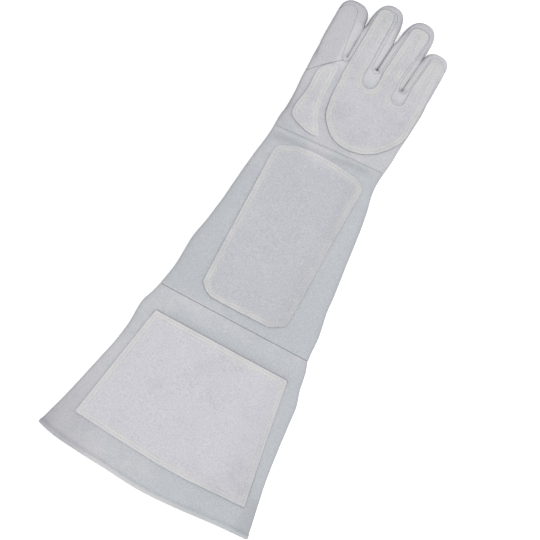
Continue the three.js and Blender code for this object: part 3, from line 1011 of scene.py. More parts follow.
@dataclass
class Forms:
    """The smooth outer skins from which every piece of leather is cut."""

    sleeve_step: float = 2.3
    sleeve_girth: float = 540
    past_wrist: float = 20
    before_wrist: float = 22
    before_knuckles: float = 25
    palm_step: float = 2.0
    palm_points: int = 200
    finger_points: int = 64
    root_points: int = 56
    thumb_points: int = 60
    thumb_lap: float = 8
    hand_voxel: float = 1.3
    slim: float = 1.0
    growing: tuple[float, float] = (506, 530)
    shrinkage: float = 0.12
    squeeze: float = 1.6
    squeeze_fade: float = 7
    squeezed_to: tuple[float, float] = (552, 568)
    squeeze_reach: tuple[float, float] = (1.5, 8.5)
    squeeze_blend: float = 0.12
    least_push: float = 0.01
    waves: tuple[Wave, ...] = (Wave(46, 1.7, 0.9), Wave(19, 5.1, 0.35))
    resting_height: tuple[float, float] = (2.0, 7.0)
    knuckle_line: Profile = Profile((-44, -27, -8, 7, 24, 41, 60), (-2, -6.5, -2, 0.5, -2, -8, -4))
    sleeve: bmesh.types.BMesh = field(init=False)
    hand: bmesh.types.BMesh = field(init=False)
    thumb: bmesh.types.BMesh = field(init=False)

    def build(self) -> None:
        """Makes the three skins."""
        self.sleeve = self.finished(self.sleeve_skin())
        self.hand = self.finished(self.hand_skin())
        rings = thumb_rings(THUMB_SEAM - self.thumb_lap, BEYOND_TIPS, self.thumb_points)
        self.thumb = self.finished(skin(rings))
        for name in ("sleeve", "hand", "thumb"):
            log.info("%s form: %d faces", name, len(getattr(self, name).faces))

    def sleeve_skin(self) -> bmesh.types.BMesh:
        """The cuff and forearm, to just past the wrist."""
        ys = np.arange(BODY[0].y, WRIST_Y + self.past_wrist, self.sleeve_step)
        return skin(body_rings(ys, round(self.sleeve_girth / self.sleeve_step)))

    def hand_skin(self) -> bmesh.types.BMesh:
        """Makes the hand with its four fingers and the root of the thumb, fused.

        Returns:
            One closed skin, from just before the wrist.
        """
        knuckles = BODY[-1].y
        turn = np.linspace(0, math.pi / 2, 7)[1:-1]
        before = np.arange(WRIST_Y - self.before_wrist, knuckles, self.palm_step)
        ys = np.concatenate([before, [knuckles], knuckles + KNUCKLE_CAP * np.sin(turn)])
        shrink = np.concatenate([np.zeros(len(ys) - len(turn)), KNUCKLE_CAP * (1 - np.cos(turn))])
        rings = body_rings(ys, self.palm_points, shrink)
        near_knuckles = smoothstep(knuckles - self.before_knuckles, knuckles, rings[..., 1])
        rings[..., 1] += self.knuckle_line(rings[..., 0]) * near_knuckles
        palm = skin(rings)
        fingers = [skin(finger_rings(finger, self.finger_points, self.slim)) for finger in FINGERS]
        root = skin(thumb_rings(0, THUMB_SEAM + RING_STEP, self.root_points))
        whole = fused(join([palm, *fingers, root]), self.hand_voxel)
        smooth(whole, 2)
        whole.normal_update()
        y = coordinates(whole.verts)[:, 1]
        move_out(whole, self.slim * smoothstep(*self.growing, y) + self.shrinkage)
        smooth(whole, 1)
        self.press(whole)
        return whole

    def press(self, bm: bmesh.types.BMesh) -> None:
        """Presses the sides of neighbouring fingers flat against each other.

        Args:
            bm: The hand's skin.
        """
        points = coordinates(bm.verts)
        y = points[:, 1]
        for left, right, crotch in zip(FINGERS, FINGERS[1:], CROTCHES):
            start = crotch.squeezed_from
            middle, gap = meeting_line(left, right, y)
            away = points[:, 0] - middle
            span = smoothstep(start, start + self.squeeze_fade, y) * (1 - smoothstep(*self.squeezed_to, y))
            push = (gap / 2 + self.squeeze) * span * (1 - smoothstep(*self.squeeze_reach, np.abs(away)))
            side = np.where(away > 0, 1, -1)
            flat = soft_floor(np.abs(away) - push, np.zeros_like(y), self.squeeze_blend)
            pressed = (push > self.least_push) & (np.abs(away) < CLEARANCE)
            points[:, 0] = np.where(pressed, middle + side * flat, points[:, 0])
        for vert, x in zip(bm.verts, points[:, 0]):
            vert.co.x = x

    def finished(self, bm: bmesh.types.BMesh) -> bmesh.types.BMesh:
        """Gives a skin its shallow undulations and keeps its normals.

        Args:
            bm: A closed skin.

        Returns:
            The same skin.
        """
        bm.normal_update()
        move_out(bm, self.relief(coordinates(bm.verts)))
        return prepare(bm)

    def relief(self, points: Points) -> np.ndarray:
        """Works out how far the soft leather swells or sinks.

        Args:
            points: Points on a skin.

        Returns:
            The swell at each, which is 0 where the glove rests on the table.
        """
        swell = np.array([sum(wave.at(Vector(point)) for wave in self.waves) for point in points])
        return swell * smoothstep(*self.resting_height, points[:, 2])


class Value:
    """A number that a shader works out. Arithmetic on it adds Math nodes."""

    def __init__(self, graph: "Graph", socket: bpy.types.NodeSocket) -> None:
        """Keeps the graph and the socket that gives the number."""
        self.graph = graph
        self.socket = socket

    def __add__(self, other: "Value | float") -> "Value":
        """Sum."""
        return self.graph.maths("ADD", self, other)

    __radd__ = __add__

    def __sub__(self, other: "Value | float") -> "Value":
        """Difference."""
        return self.graph.maths("SUBTRACT", self, other)

    def __rsub__(self, other: float) -> "Value":
        """Difference from a number."""
        return self.graph.maths("SUBTRACT", other, self)

    def __mul__(self, other: "Value | float") -> "Value":
        """Product."""
        return self.graph.maths("MULTIPLY", self, other)

    __rmul__ = __mul__

    def within(self, low: float, high: "Value | float") -> "Value":
        """A smooth rise with the number.

        Args:
            low: Where it starts, at 0.
            high: Where it ends, at 1.

        Returns:
            The rise.
        """
        settings = {"interpolation_type": "SMOOTHSTEP"}
        inputs = {"Value": self, "From Min": low, "From Max": high, "To Min": 0.0, "To Max": 1.0}
        return self.graph.value("ShaderNodeMapRange", settings, inputs, "Result")

    def near(self, centre: float, width: float) -> "Value":
        """A smooth bump of height 1 round a value."""
        return self.within(centre - width, centre) * (1 - self.within(centre, centre + width))


class Mottle(NamedTuple):
    """A noise: how many of its features fit in a metre, its levels of detail and its roughness."""

    scale: float
    detail: float = 2
    rough: float = 0.5


class Graph:
    """A material's nodes."""

    def __init__(self, name: str) -> None:
        """Starts an empty material.

        Args:
            name: Its name.
        """
        self.material = bpy.data.materials.new(name)
        self.material.use_nodes = True
        self.tree = self.material.node_tree
        self.tree.nodes.clear()

    def node(self, kind: str, settings: dict | None = None, inputs: dict | None = None) -> bpy.types.Node:
        """Adds a node.

        Args:
            kind: The node's type.
            settings: Its properties, set first.
            inputs: Values or links for its sockets, by name or number.

        Returns:
            The node.
        """
        made = self.tree.nodes.new(kind)
        for name, setting in (settings or {}).items():
            setattr(made, name, setting)
        for name, given in (inputs or {}).items():
            source = given.socket if isinstance(given, Value) else given
            if isinstance(source, bpy.types.NodeSocket):
                self.tree.links.new(source, made.inputs[name])
            else:
                made.inputs[name].default_value = source
        return made

    def value(self, kind: str, settings: dict | None, inputs: dict | None, output: str) -> Value:
        """Adds a node and gives one of its outputs as a number."""
        return Value(self, self.node(kind, settings, inputs).outputs[output])

    def maths(self, operation: str, first: "Value | float", second: "Value | float") -> Value:
        """Adds a Math node."""
        return self.value("ShaderNodeMath", {"operation": operation}, {0: first, 1: second}, "Value")

    def attribute(self, name: str) -> Value:
        """A number kept on the mesh."""
        return self.value("ShaderNodeAttribute", {"attribute_name": name}, None, "Fac")

    def noise(self, mottle: Mottle) -> Value:
        """Adds a smooth noise that stays with the object.

        Args:
            mottle: Its kind.

        Returns:
            Numbers round 0.5.
        """
        place = self.node("ShaderNodeTexCoord").outputs["Object"]
        inputs = {"Vector": place, "Scale": mottle.scale, "Detail": mottle.detail, "Roughness": mottle.rough}
        return self.value("ShaderNodeTexNoise", None, inputs, "Fac")

    def mix(
        self, factor: Value, first: Colour | bpy.types.NodeSocket, second: Colour
    ) -> bpy.types.NodeSocket:
        """A colour between two others."""
        made = self.node("ShaderNodeMix", {"data_type": "RGBA"}, {0: factor, 6: first, 7: second})
        return made.outputs[2]

    def bump(self, height: Value, strength: float, distance: float) -> bpy.types.NodeSocket:
        """Normals for a height, given as a share of a distance in metres."""
        inputs = {"Height": height, "Strength": strength, "Distance": distance}
        return self.node("ShaderNodeBump", None, inputs).outputs["Normal"]

    def surfaced(self, inputs: dict) -> bpy.types.Material:
        """Finishes the material.

        Args:
            inputs: Values or links for the sockets of its shader.

        Returns:
            The material.
        """
        surface = self.node("ShaderNodeBsdfPrincipled", None, inputs)
        self.node("ShaderNodeOutputMaterial", None, {"Surface": surface.outputs["BSDF"]})
        return self.material


def linear(value: float) -> float:
    """One colour channel on screen, 0 to 255, without its display curve."""
    value /= 255
    return value / 12.92 if value <= 0.04045 else ((value + 0.055) / 1.055) ** 2.4


def shade(red: float, green: float, blue: float) -> Colour:
    """A colour for a shader from its values on screen, 0 to 255."""
    return linear(red), linear(green), linear(blue), 1.0


@dataclass(frozen=True)
class Suede:
    """Split leather with a short, matt nap."""

    name: str
    warm: Colour
    cool: Colour
    # The cream colour serves the pale grain and the pale band, and painted highlight.
    cream_and_highlight: Colour
    # The darkest colour serves the dark grain, and painted shade along edges and elsewhere.
    grain_and_shade: Colour
    band: float = 0.0
    rows: tuple[float, ...] = ()
    # How strongly painted shade darkens each piece's edge.
    edge_shade_amount: float = 0.35
    clouds: Mottle = Mottle(22, 4, 0.6)
    blotches: Mottle = Mottle(130, 3, 0.6)
    grain: Mottle = Mottle(750, 2, 0.65)
    nap: Mottle = Mottle(2400, 2, 0.65)
    rubbing: Mottle = Mottle(60, 4, 0.6)
    dark_grain: Fade = (0.3, 0.6)
    pale_grain: Fade = (0.5, 0.75)
    grain_shares: tuple[float, float] = (0.22, 0.4)
    band_start: Fade = (0.6, 1.6)
    band_end: Fade = (4.5, 11.0)
    rubbed: Fade = (0.38, 0.66)
    least_rubbed: float = 0.35
    channel: float = 1.1
    channel_depth: float = 0.45
    heights: tuple[float, float, float] = (0.1, 0.3, 0.3)
    relief: tuple[float, float] = (0.5, 0.0008)
    roughness: float = 0.93
    sheen: float = 0.1

    def material(self) -> bpy.types.Material:
        """Builds the finish.

        Returns:
            A material that follows these attributes: edge, in millimetres from the piece's edge; tone,
            which tells how blue the dye is; one which tells how much darker it is, mostly painted shade, or,
            below 0, how much paler, which is painted highlight; line and band, which tell how strongly the
            painted shade along the edge and the pale band beside it show.
        """
        g = Graph(self.name)
        edge, tone, shade_and_tone, line, pale = (g.attribute(name) for name in (EDGE, TONE, SHADE_AND_TONE, EDGE_SHADE, BAND))
        clouds, blotches, grain = g.noise(self.clouds), g.noise(self.blotches), g.noise(self.grain)
        blue = (tone + (clouds - 0.5) * 1.8 + (blotches - 0.5) * 0.7).within(0.05, 0.95)
        colour = g.mix(blue, self.warm, self.cool)
        darker, paler = self.grain_shares
        colour = g.mix((1 - grain.within(*self.dark_grain)) * darker, colour, self.grain_and_shade)
        colour = g.mix(grain.within(*self.pale_grain) * paler, colour, self.cream_and_highlight)
        if self.band:
            inner = edge.within(*self.band_start) * (1 - edge.within(*self.band_end))
            patchy = g.noise(self.rubbing).within(*self.rubbed)
            patchy = self.least_rubbed + (1 - self.least_rubbed) * patchy
            colour = g.mix(inner * patchy * pale * self.band, colour, self.cream_and_highlight)
        # Painted shade along each piece's edge, as strong as the line attribute asks.
        colour = g.mix((1 - edge.within(-0.1, 0.2 + line * 0.7)) * line * self.edge_shade_amount, colour, self.grain_and_shade)
        # Darker where the painted shade attribute is above 0; paler, a painted highlight, where it is below
        # 0.
        colour = g.mix(shade_and_tone * (0.8 + 0.4 * blotches), colour, self.grain_and_shade)
        colour = g.mix(shade_and_tone * -1.0, colour, self.cream_and_highlight)
        naps, grains, hollows = self.heights
        height = g.noise(self.nap) * naps + grain * grains + blotches * hollows
        for row in self.rows:
            height = height - edge.near(row, self.channel) * self.channel_depth
        return g.surfaced({
            "Base Color": colour,
            "Roughness": self.roughness + (grain - 0.5) * 0.1,
            "Normal": g.bump(height, *self.relief),
            "Sheen Weight": self.sheen,
            "Sheen Roughness": 0.6,
            "Specular IOR Level": 0.2,
        })


@dataclass(frozen=True)
class Thread:
    """Off-white sewing thread."""

    name: str = "sewing thread"
    pale: Colour = shade(204, 202, 196)
    greyed: Colour = shade(172, 172, 172)
    twist: Mottle = Mottle(1400, 1)
    wear: Mottle = Mottle(120)
    roughness: float = 0.75

    def material(self) -> bpy.types.Material:
        """Builds the finish.

        Returns:
            The thread's material.
        """
        g = Graph(self.name)
        twist = g.noise(self.twist)
        return g.surfaced({
            "Base Color": g.mix(g.noise(self.wear).within(0.35, 0.7), self.pale, self.greyed),
            "Roughness": self.roughness + twist * 0.1,
            "Normal": g.bump(twist, 0.4, 0.0003),
        })


@dataclass(frozen=True)
class Paper:
    """The white paper that the glove lies on, which glows a little so that its shadow stays faint."""

    name: str = "white paper"
    colour: Colour = (0.8, 0.8, 0.8, 1)
    fibre: Mottle = Mottle(6)
    roughness: float = 0.85
    glow: float = 0.36

    def material(self) -> bpy.types.Material:
        """Builds the finish.

        Returns:
            The paper's material.
        """
        g = Graph(self.name)
        return g.surfaced({
            "Base Color": self.colour,
            "Roughness": self.roughness + g.noise(self.fibre) * 0.1,
            "Emission Color": (1, 1, 1, 1),
            "Emission Strength": self.glow,
        })


class Slot(Enum):
    """The material slots that the part's record names."""

    SHELL = "shell_leather"
    PATCH = "patch_leather"
    THREAD = "thread"


STITCH_ROWS = (3.5, 7.0)
SHELL_SUEDE = Suede(
    name="blue-grey suede",
    warm=shade(179, 178, 183),
    cool=shade(166, 170, 174),
    cream_and_highlight=shade(188, 187, 186),
    grain_and_shade=shade(110, 112, 118),
)
PATCH_SUEDE = Suede(
    name="pale grey suede",
    warm=shade(182, 181, 187),
    cool=shade(169, 170, 176),
    cream_and_highlight=shade(192, 191, 187),
    grain_and_shade=shade(96, 97, 102),
    band=0.6,
    rows=STITCH_ROWS,
    edge_shade_amount=0.45,
)


class Area(NamedTuple):
    """Part of the glove in plan, which fades in between pairs of places across the glove and along it."""

    across: tuple[Fade, ...] = ()
    along: tuple[Fade, ...] = ()

    def share(self, points: Points) -> np.ndarray:
        """Works out how far points lie in the area.

        Args:
            points: The points.

        Returns:
            Their shares, from 0 outside it to 1.
        """
        share = np.ones(len(points))
        for axis, fades in enumerate((self.across, self.along)):
            for none, full in fades:
                share = share * smoothstep(none, full, points[:, axis])
        return share


# Where the dye, the painted shade and highlights and the worn edges change, in plan
PATCHES_PART_Y = WRIST_Y - 6
HAND = Area(along=((430, 450),))
PAST_WRIST_AREA = Area(along=((425, 445),))
WRIST_RIGHT = Area(((25, 45),), ((480, 445),))
WRIST_LEFT = Area(((-42, -58),), ((480, 445),))
ARM_LEFT = Area(((-42, -54),), ((350, 385),))
INDEX_FINGER = Area(((-24, -34),), ((495, 515),))
INDEX_SEAM_AREA = Area(((-22, -28),), ((522, 516),))
RING_RIGHT = Area(((30, 34), (46, 43)), ((520, 530),))
LITTLE_RIGHT = Area(((58, 64),), ((535, 550),))
LITTLE_END = Area(((45, 51),), ((545, 562),))
FINGER_ENDS = Area(along=((550, 575),))
CUT_OUTS = Area(((-8, -4), (56, 52)), ((492, 498), (514, 506)))
CUFF_PATCH_RIGHT = Area(((20, 85),), ((160, 90),))
ARM_PATCH_RIGHT = Area(((25, 48),), ((385, 340),))
OVER_CUFF_PATCH = Area(((-85, -70), (92, 78)))
CUFF_PATCH_WORN = Area(((60, 75),), ((176, 165), (60, 110)))
ARM_PATCH_WORN = Area(along=((390, 402),))
# Areas of the cuff painted darker, and one a little paler.
CUFF_DARKER_AREAS = (
    (0.22, Area(((-50, -105),), ((112, 30),))),
    (-0.06, Area(((-40, 0), (60, 35)), ((34, 28),))),
    (0.15, Area(((-112, -130),), ((50, 10),))),
    (0.22, Area(((102, 119),), ((66, 36),))),
)
# How much paler the strips between the fingers are painted, a painted highlight.
STRIP_PAINTED_LIGHT = 0.35


def bump(at: np.ndarray, middle: np.ndarray | float, width: float) -> np.ndarray:
    """A smooth bump of height 1 round a place."""
    return np.exp(-(((at - middle) / width) ** 2))


def by_part(y: np.ndarray, wrist: np.ndarray | float, values: Sequence[np.ndarray | float]) -> np.ndarray:
    """Chooses among three values along the glove.

    Args:
        y: Where the points lie.
        wrist: Where the hand begins.
        values: The values on the cuff, on the forearm and on the hand.

    Returns:
        The value at each point.
    """
    cuff, forearm, hand = values
    return np.where(y < SLEEVE_SEAM_Y, cuff, np.where(y < wrist, forearm, hand))


def little_tip(points: Points) -> np.ndarray:
    """How near points are to the right side of the little fingertip, up to 1."""
    x, y = points[:, 0], points[:, 1]
    return smoothstep(56, 61, x + 0.5 * np.maximum(y - 560, 0)) * smoothstep(535, 550, y)


def coolness(points: Points, slot: Slot) -> np.ndarray:
    """Works out how blue the dye is, from the warmer hand and cuff corner to the cooler forearm.

    Args:
        points: The points.
        slot: The piece's material slot.

    Returns:
        The share of the cool colour at each point.
    """
    x, y = points[:, 0], points[:, 1]
    if slot is Slot.PATCH:
        cuff, hand = 0.1, 0.35
    else:
        cuff = 0.15 + 0.85 * smoothstep(-130, 60, x + 0.35 * (y - 40)) * (1 - 0.5 * smoothstep(180, 205, y))
        hand = 0.2 + (0.3 - 0.22 * smoothstep(15, 40, np.abs(x))) * smoothstep(460, 425, y)
    forearm = 0.9 - 0.45 * bump(x, -5, 26) * smoothstep(395, 415, y) - 0.5 * ARM_LEFT.share(points)
    return by_part(y, wrist_y(x), (cuff, forearm, hand))


def side_shade(points: Points, normals: Points) -> np.ndarray:
    """Works out the painted shade where the leather turns down at the glove's sides, more on the left.

    Args:
        points: The points.
        normals: The form's normals at them.

    Returns:
        The share of the darkest colour.
    """
    facing, leftward = normals[:, 2], normals[:, 0] < 0
    # Painted shade on the sides, more on the left.
    side = np.where(leftward, 0.34, 0.3 - 0.15 * FINGER_ENDS.share(points))
    side *= smoothstep(0.85, 0.25, facing) * smoothstep(-0.5, 0.0, facing)
    side *= 1 + 0.7 * PAST_WRIST_AREA.share(points) * leftward
    return side * (1 - 0.85 * LITTLE_END.share(points))


def sleeve_shade_and_tone(points: Points, facing: np.ndarray) -> np.ndarray:
    """Works out how much darker the leather is on the cuff, over its patch and round the wrist, with painted
    shade in the hem's fold, just above the cuff's patch and in the valley below the wrist seam.

    Args:
        points: The points.
        facing: How far the form's normals at them point up.

    Returns:
        The share of the darkest colour. Below 0, on the hem and just below the wrist seam, it is paler,
        which is painted highlight.
    """
    x, y = points[:, 0], points[:, 1]
    past_hem, past_wrist = PAST_HEM(points), PAST_WRIST(points)
    # Painted shade in the fold along the hem's line.
    hem_fold_shade = bump(past_hem, -0.8, 2.4) * (facing > 0) * (0.2 - 0.04 * smoothstep(-60, 10, x))
    # The hem is painted paler, a painted highlight on its turned edge.
    hem = 0.6 * smoothstep(-1.0, -5.0, past_hem) * smoothstep(-85, -55, x)
    hem *= 1 - 0.5 * smoothstep(20, 50, x)
    # Areas of the cuff painted darker, and painted shade just above the cuff's patch.
    cuff = sum(amount * area.share(points) for amount, area in CUFF_DARKER_AREAS)
    cuff += 0.09 * bump(y, 182, 5) * OVER_CUFF_PATCH.share(points)
    # Painted shade in the valley below the wrist seam, and darker on the forearm's left side near the wrist.
    valley = 415.5 - (np.minimum(x, 0) / 25) ** 2 + 0.18 * np.maximum(x, 0)
    valley_shade = 0.22 * bump(y, valley, 4.5) * smoothstep(65, 45, np.abs(x))
    valley_shade += 0.08 * ARM_LEFT.share(points) * (past_wrist < 0)
    # A painted highlight just below the wrist seam.
    below_wrist_highlight = 0.28 * bump(past_wrist, -1.9, 1.6) * smoothstep(68, 56, np.abs(x))
    # Just past the wrist seam, darker on the right and paler on the left.
    wrist = (0.14 * WRIST_RIGHT.share(points) - 0.13 * WRIST_LEFT.share(points)) * (past_wrist > 0)
    return hem_fold_shade - hem + cuff + valley_shade - below_wrist_highlight - wrist


def painted_shade_and_tone(points: Points, normals: Points, slot: Slot) -> np.ndarray:
    """Works out how much darker or paler the leather is painted, mostly as painted shade and highlight.

    Args:
        points: The points.
        normals: The form's normals at them.
        slot: The piece's material slot.

    Returns:
        The share of the darkest colour. It is more along the glove's sides, at the fingertips and where two
        fingers meet, which is painted shade, and in the cuff's corners and on the hand. Below 0, as on the
        hem and in the strips between the fingers, the leather is paler, which is painted highlight.
    """
    x, y = points[:, 0], points[:, 1]
    facing = normals[:, 2]
    # Painted shade where the leather turns down at the sides.
    side = side_shade(points, normals)
    # Darker on the hand and the index finger.
    hand = 0.08 * HAND.share(points) + 0.05 * INDEX_FINGER.share(points)
    # Painted shade towards the fingertips, reaching further down the index and little fingers.
    shorter = 13 * smoothstep(-28, -34, x) + 20 * smoothstep(48, 56, x)
    tips = 0.06 * smoothstep(577, 590, y + shorter)
    if slot is Slot.PATCH:
        # Darker towards the right of the cuff's and forearm's patches.
        greyed = 0.08 * by_part(y, WRIST_Y, (smoothstep(50, 92, x), smoothstep(26, 52, x), 0))
        return side + hand * np.where(x < SIDE_PATCH_RIGHT(y) + 3, 0.3, 1) + tips + greyed
    # The little finger's end is painted lighter, a painted highlight.
    dark = side + hand + tips + sleeve_shade_and_tone(points, facing) - 0.12 * LITTLE_END.share(points)
    for left, right, crotch in zip(FINGERS, FINGERS[1:], CROTCHES):
        bottom, tip = crotch.bottom, crotch.tip
        away = np.abs(x - meeting_line(left, right, y)[0])
        # The strips between the fingers are painted paler, a painted highlight, with painted shade along the
        # line where the fingers meet and at the crotch's foot.
        strip = smoothstep(11, 7, away) * smoothstep(505, 514, y) * smoothstep(tip - 4, tip - 14, y)
        span = smoothstep(bottom + 4, bottom + 8, y) * smoothstep(tip - 14, tip - 28, y) * (facing > -0.3)
        gap_shade = (1 - smoothstep(0.4, 1.8, away)) * span
        dark = dark * (1 - strip) + strip * ((crotch.gap_shade + STRIP_PAINTED_LIGHT) * gap_shade - STRIP_PAINTED_LIGHT)
        dark += crotch.crotch_foot_shade * bump(away, 0, 1.2) * bump(y, bottom + 5.3, 1.5)
    return dark


def edge_shade_strength(points: Points, slot: Slot) -> np.ndarray:
    """Works out how strongly the painted shade along a piece's edge shows.

    Args:
        points: The points.
        slot: The piece's material slot.

    Returns:
        The strength at each point, about 1 where the painted shade line is plain to see.
    """
    x, y = points[:, 0], points[:, 1]
    # On the shell the painted shade is full on the sleeve and fainter on the hand, save along the index
    # seam.
    if slot is Slot.SHELL:
        hand = (0.2 + 0.8 * INDEX_SEAM_AREA.share(points)) * (1 - 0.8 * LITTLE_RIGHT.share(points))
        return np.where(y < WRIST_Y - 12, 1, hand * smoothstep(430, 440, y))
    # On the patches the painted shade along the edges is set part by part and side by side.
    right = smoothstep(60, 90, x) * (0.5 + 0.5 * smoothstep(110, 60, y))
    beside = 0.5 + 0.5 * smoothstep(20, -20, x) + 1.3 * right
    below = 0.5 + 0.8 * smoothstep(20, 60, x)
    cuff = beside + (below - beside) * smoothstep(48, 40, y) + (1.6 - beside) * smoothstep(166, 174, y)
    forearm = 0.15 + (0.8 - 0.3 * smoothstep(0, 40, x)) * smoothstep(400, 385, y)
    forearm += 0.4 * smoothstep(240, 232, y)
    hand = (0.7 + smoothstep(500, 465, y)) * (1 - 0.6 * CUT_OUTS.share(points))
    hand *= 1 - 0.9 * little_tip(points) - 0.5 * RING_RIGHT.share(points)
    from_right = SIDE_PATCH_RIGHT(y) - x
    hand = np.where(from_right > -3, hand * smoothstep(2, 10, from_right), hand)
    return by_part(y, PATCHES_PART_Y, (cuff, forearm, hand))


def band_strength(points: Points, slot: Slot) -> np.ndarray:
    """Works out how strongly the pale band along a patch's edge shows.

    Args:
        points: The points.
        slot: The piece's material slot.

    Returns:
        The strength at each point, least along the right edges of the sleeve's patches.
    """
    if slot is Slot.SHELL:
        return np.zeros(len(points))
    cuff, forearm = (1 - 0.75 * area.share(points) for area in (CUFF_PATCH_RIGHT, ARM_PATCH_RIGHT))
    return by_part(points[:, 1], PATCHES_PART_Y, (cuff, forearm, 1))


@dataclass
class Workshop:
    """Places finished pieces in the frame."""

    materials: dict[Slot, bpy.types.Material] = field(default_factory=dict)

    def __post_init__(self) -> None:
        """Makes the finishes and finds where the frame holds the glove."""
        self.materials = {
            Slot.SHELL: SHELL_SUEDE.material(),
            Slot.PATCH: PATCH_SUEDE.material(),
            Slot.THREAD: Thread().material(),
        }
        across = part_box("hand_patch")[0].x - HEEL[0][0] * MM
        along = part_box("forearm_top_panel")[0].y - (SLEEVE_SEAM_Y + HALF_GAP) * MM
        self.place = Matrix.Translation((across, along, 0)) @ Matrix.Scale(MM, 4)

    def paint_tone_and_shade(self, bm: bmesh.types.BMesh, slot: Slot) -> None:
        """Keeps on a piece's points what its finish follows, painted shade and painted highlight among it.

        Args:
            bm: The piece in millimetres.
            slot: Its material slot.
        """
        points = coordinates(bm.verts)
        normal = bm.verts.layers.float_vector.get(NORMAL)
        normals = np.tile((0.0, 0.0, 1.0), (len(points), 1))
        if normal:
            normals = np.array([vert[normal] for vert in bm.verts])
        looks = {
            TONE: coolness(points, slot),
            SHADE_AND_TONE: painted_shade_and_tone(points, normals, slot),
            EDGE_SHADE: edge_shade_strength(points, slot),
            BAND: band_strength(points, slot),
        }
        for key, values in looks.items():
            layer = bm.verts.layers.float.new(key)
            for vert, value in zip(bm.verts, values):
                vert[layer] = value

    def make(self, form: bmesh.types.BMesh, node: str, region: Region, cut: Cut) -> None:
        """Makes a panel of the shell.

        Args:
            form: The form that it is cut from.
            node: The node that it replaces.
            region: Its region of the form.
            cut: How it is cut and laid.
        """
        sheet = cut_sheet(form, region, cut.edge_radius)
        self.finish(f"{node}_leather", lay(sheet, cut), Slot.SHELL, node)

    def finish(self, name: str, bm: bmesh.types.BMesh, slot: Slot, node: str | None = None) -> None:
        """Makes an object of a piece.

        Args:
            name: The object's name.
            bm: The piece in millimetres. It is freed.
            slot: Its material slot.
            node: The node that it replaces, if any.
        """
        if slot is not Slot.THREAD:
            self.paint_tone_and_shade(bm, slot)
        bmesh.ops.transform(bm, matrix=self.place, verts=bm.verts)
        mesh = bpy.data.meshes.new(name)
        bm.to_mesh(mesh)
        bm.free()
        mesh.shade_smooth()
        mesh.materials.append(self.materials[slot])
        piece = bpy.data.objects.new(name, mesh)
        bpy.context.scene.collection.objects.link(piece)
        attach(piece, "root")
        if node:
            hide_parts(node)
        log.info("%s: %d triangles", name, sum(len(face.vertices) - 2 for face in mesh.polygons))


@dataclass
class Sleeve:
    """The cuff, the forearm, the hem and the wrist welt."""

    forms: Forms
    shop: Workshop
    leather: Cut = Cut()
    hem: Cut = Cut(thickness=3.6, lift=0.45, edge_radius=1.7, has_edge_shade=False)
    hem_lap: float = 2.4
    wrist_lap: float = 0.2
    welt_radius: float = 0.9
    welt_sunk: float = 0.65
    welt_shift: float = -0.5
    welt_search: float = 12
    welt_points: int = 260

    def panels(self) -> dict[str, Region]:
        """Divides the sleeve into its panels.

        Returns:
            Their regions by node.
        """
        cuff = PAST_HEM.grown(self.hem_lap) & (~SLEEVE_SEAM).grown(-JOIN)
        forearm = SLEEVE_SEAM.grown(-JOIN) & (~PAST_WRIST).grown(self.wrist_lap)
        over, under = BACK_SIDE.grown(-JOIN), (~BACK_SIDE).grown(-JOIN)
        return {
            "cuff_top_panel": cuff & over,
            "cuff_under_panel": cuff & under,
            "forearm_top_panel": forearm & over,
            "forearm_under_panel": forearm & under,
        }

    def build(self) -> None:
        """Makes the pieces."""
        for node, region in self.panels().items():
            self.shop.make(self.forms.sleeve, node, region, self.leather)
        self.shop.make(self.forms.sleeve, "cuff_hem", along_y(MOUTH_Y) & ~PAST_HEM, self.hem)
        self.shop.finish("wrist_welt_leather", self.welt(), Slot.SHELL, "wrist_welt")

    def welt(self) -> bmesh.types.BMesh:
        """Makes a bead of leather all round the wrist.

        Returns:
            The bead, closed into a ring along the wrist seam.
        """
        ys = np.arange(WRIST_Y - self.welt_search, WRIST_Y + self.welt_search, 1.0)
        rings = body_rings(ys, self.welt_points)
        past = rings[..., 1] - wrist_y(rings[..., 0])
        centres = []
        for column in range(rings.shape[1]):
            row = int(np.argmax(past[:, column] > 0))
            before, after = past[row - 1, column], past[row, column]
            share = -before / (after - before)
            centres.append(rings[row - 1, column] * (1 - share) + rings[row, column] * share)
        centres = np.array(centres)
        along = np.roll(centres, -1, axis=0) - np.roll(centres, 1, axis=0)
        forward = np.array([0.0, 1.0, 0.0])
        out = np.cross(forward, along)
        out /= np.linalg.norm(out, axis=1)[:, None]
        centres += self.forms.relief(centres)[:, None] * out
        turns = np.linspace(0, 2 * math.pi, 13)[:-1]
        lift = (self.welt_radius * (np.cos(turns) - self.welt_sunk))[None, :, None] * out[:, None, :]
        side = (self.welt_radius * np.sin(turns))[None, :, None] * forward
        beads = centres[:, None, :] + lift + side
        beads[..., 1] += self.welt_shift
        bead = skin(np.concatenate([beads, beads[:1]]))
        edge = bead.verts.layers.float.new(EDGE)
        for vert in bead.verts:
            vert[edge] = CLEARANCE
        return bead


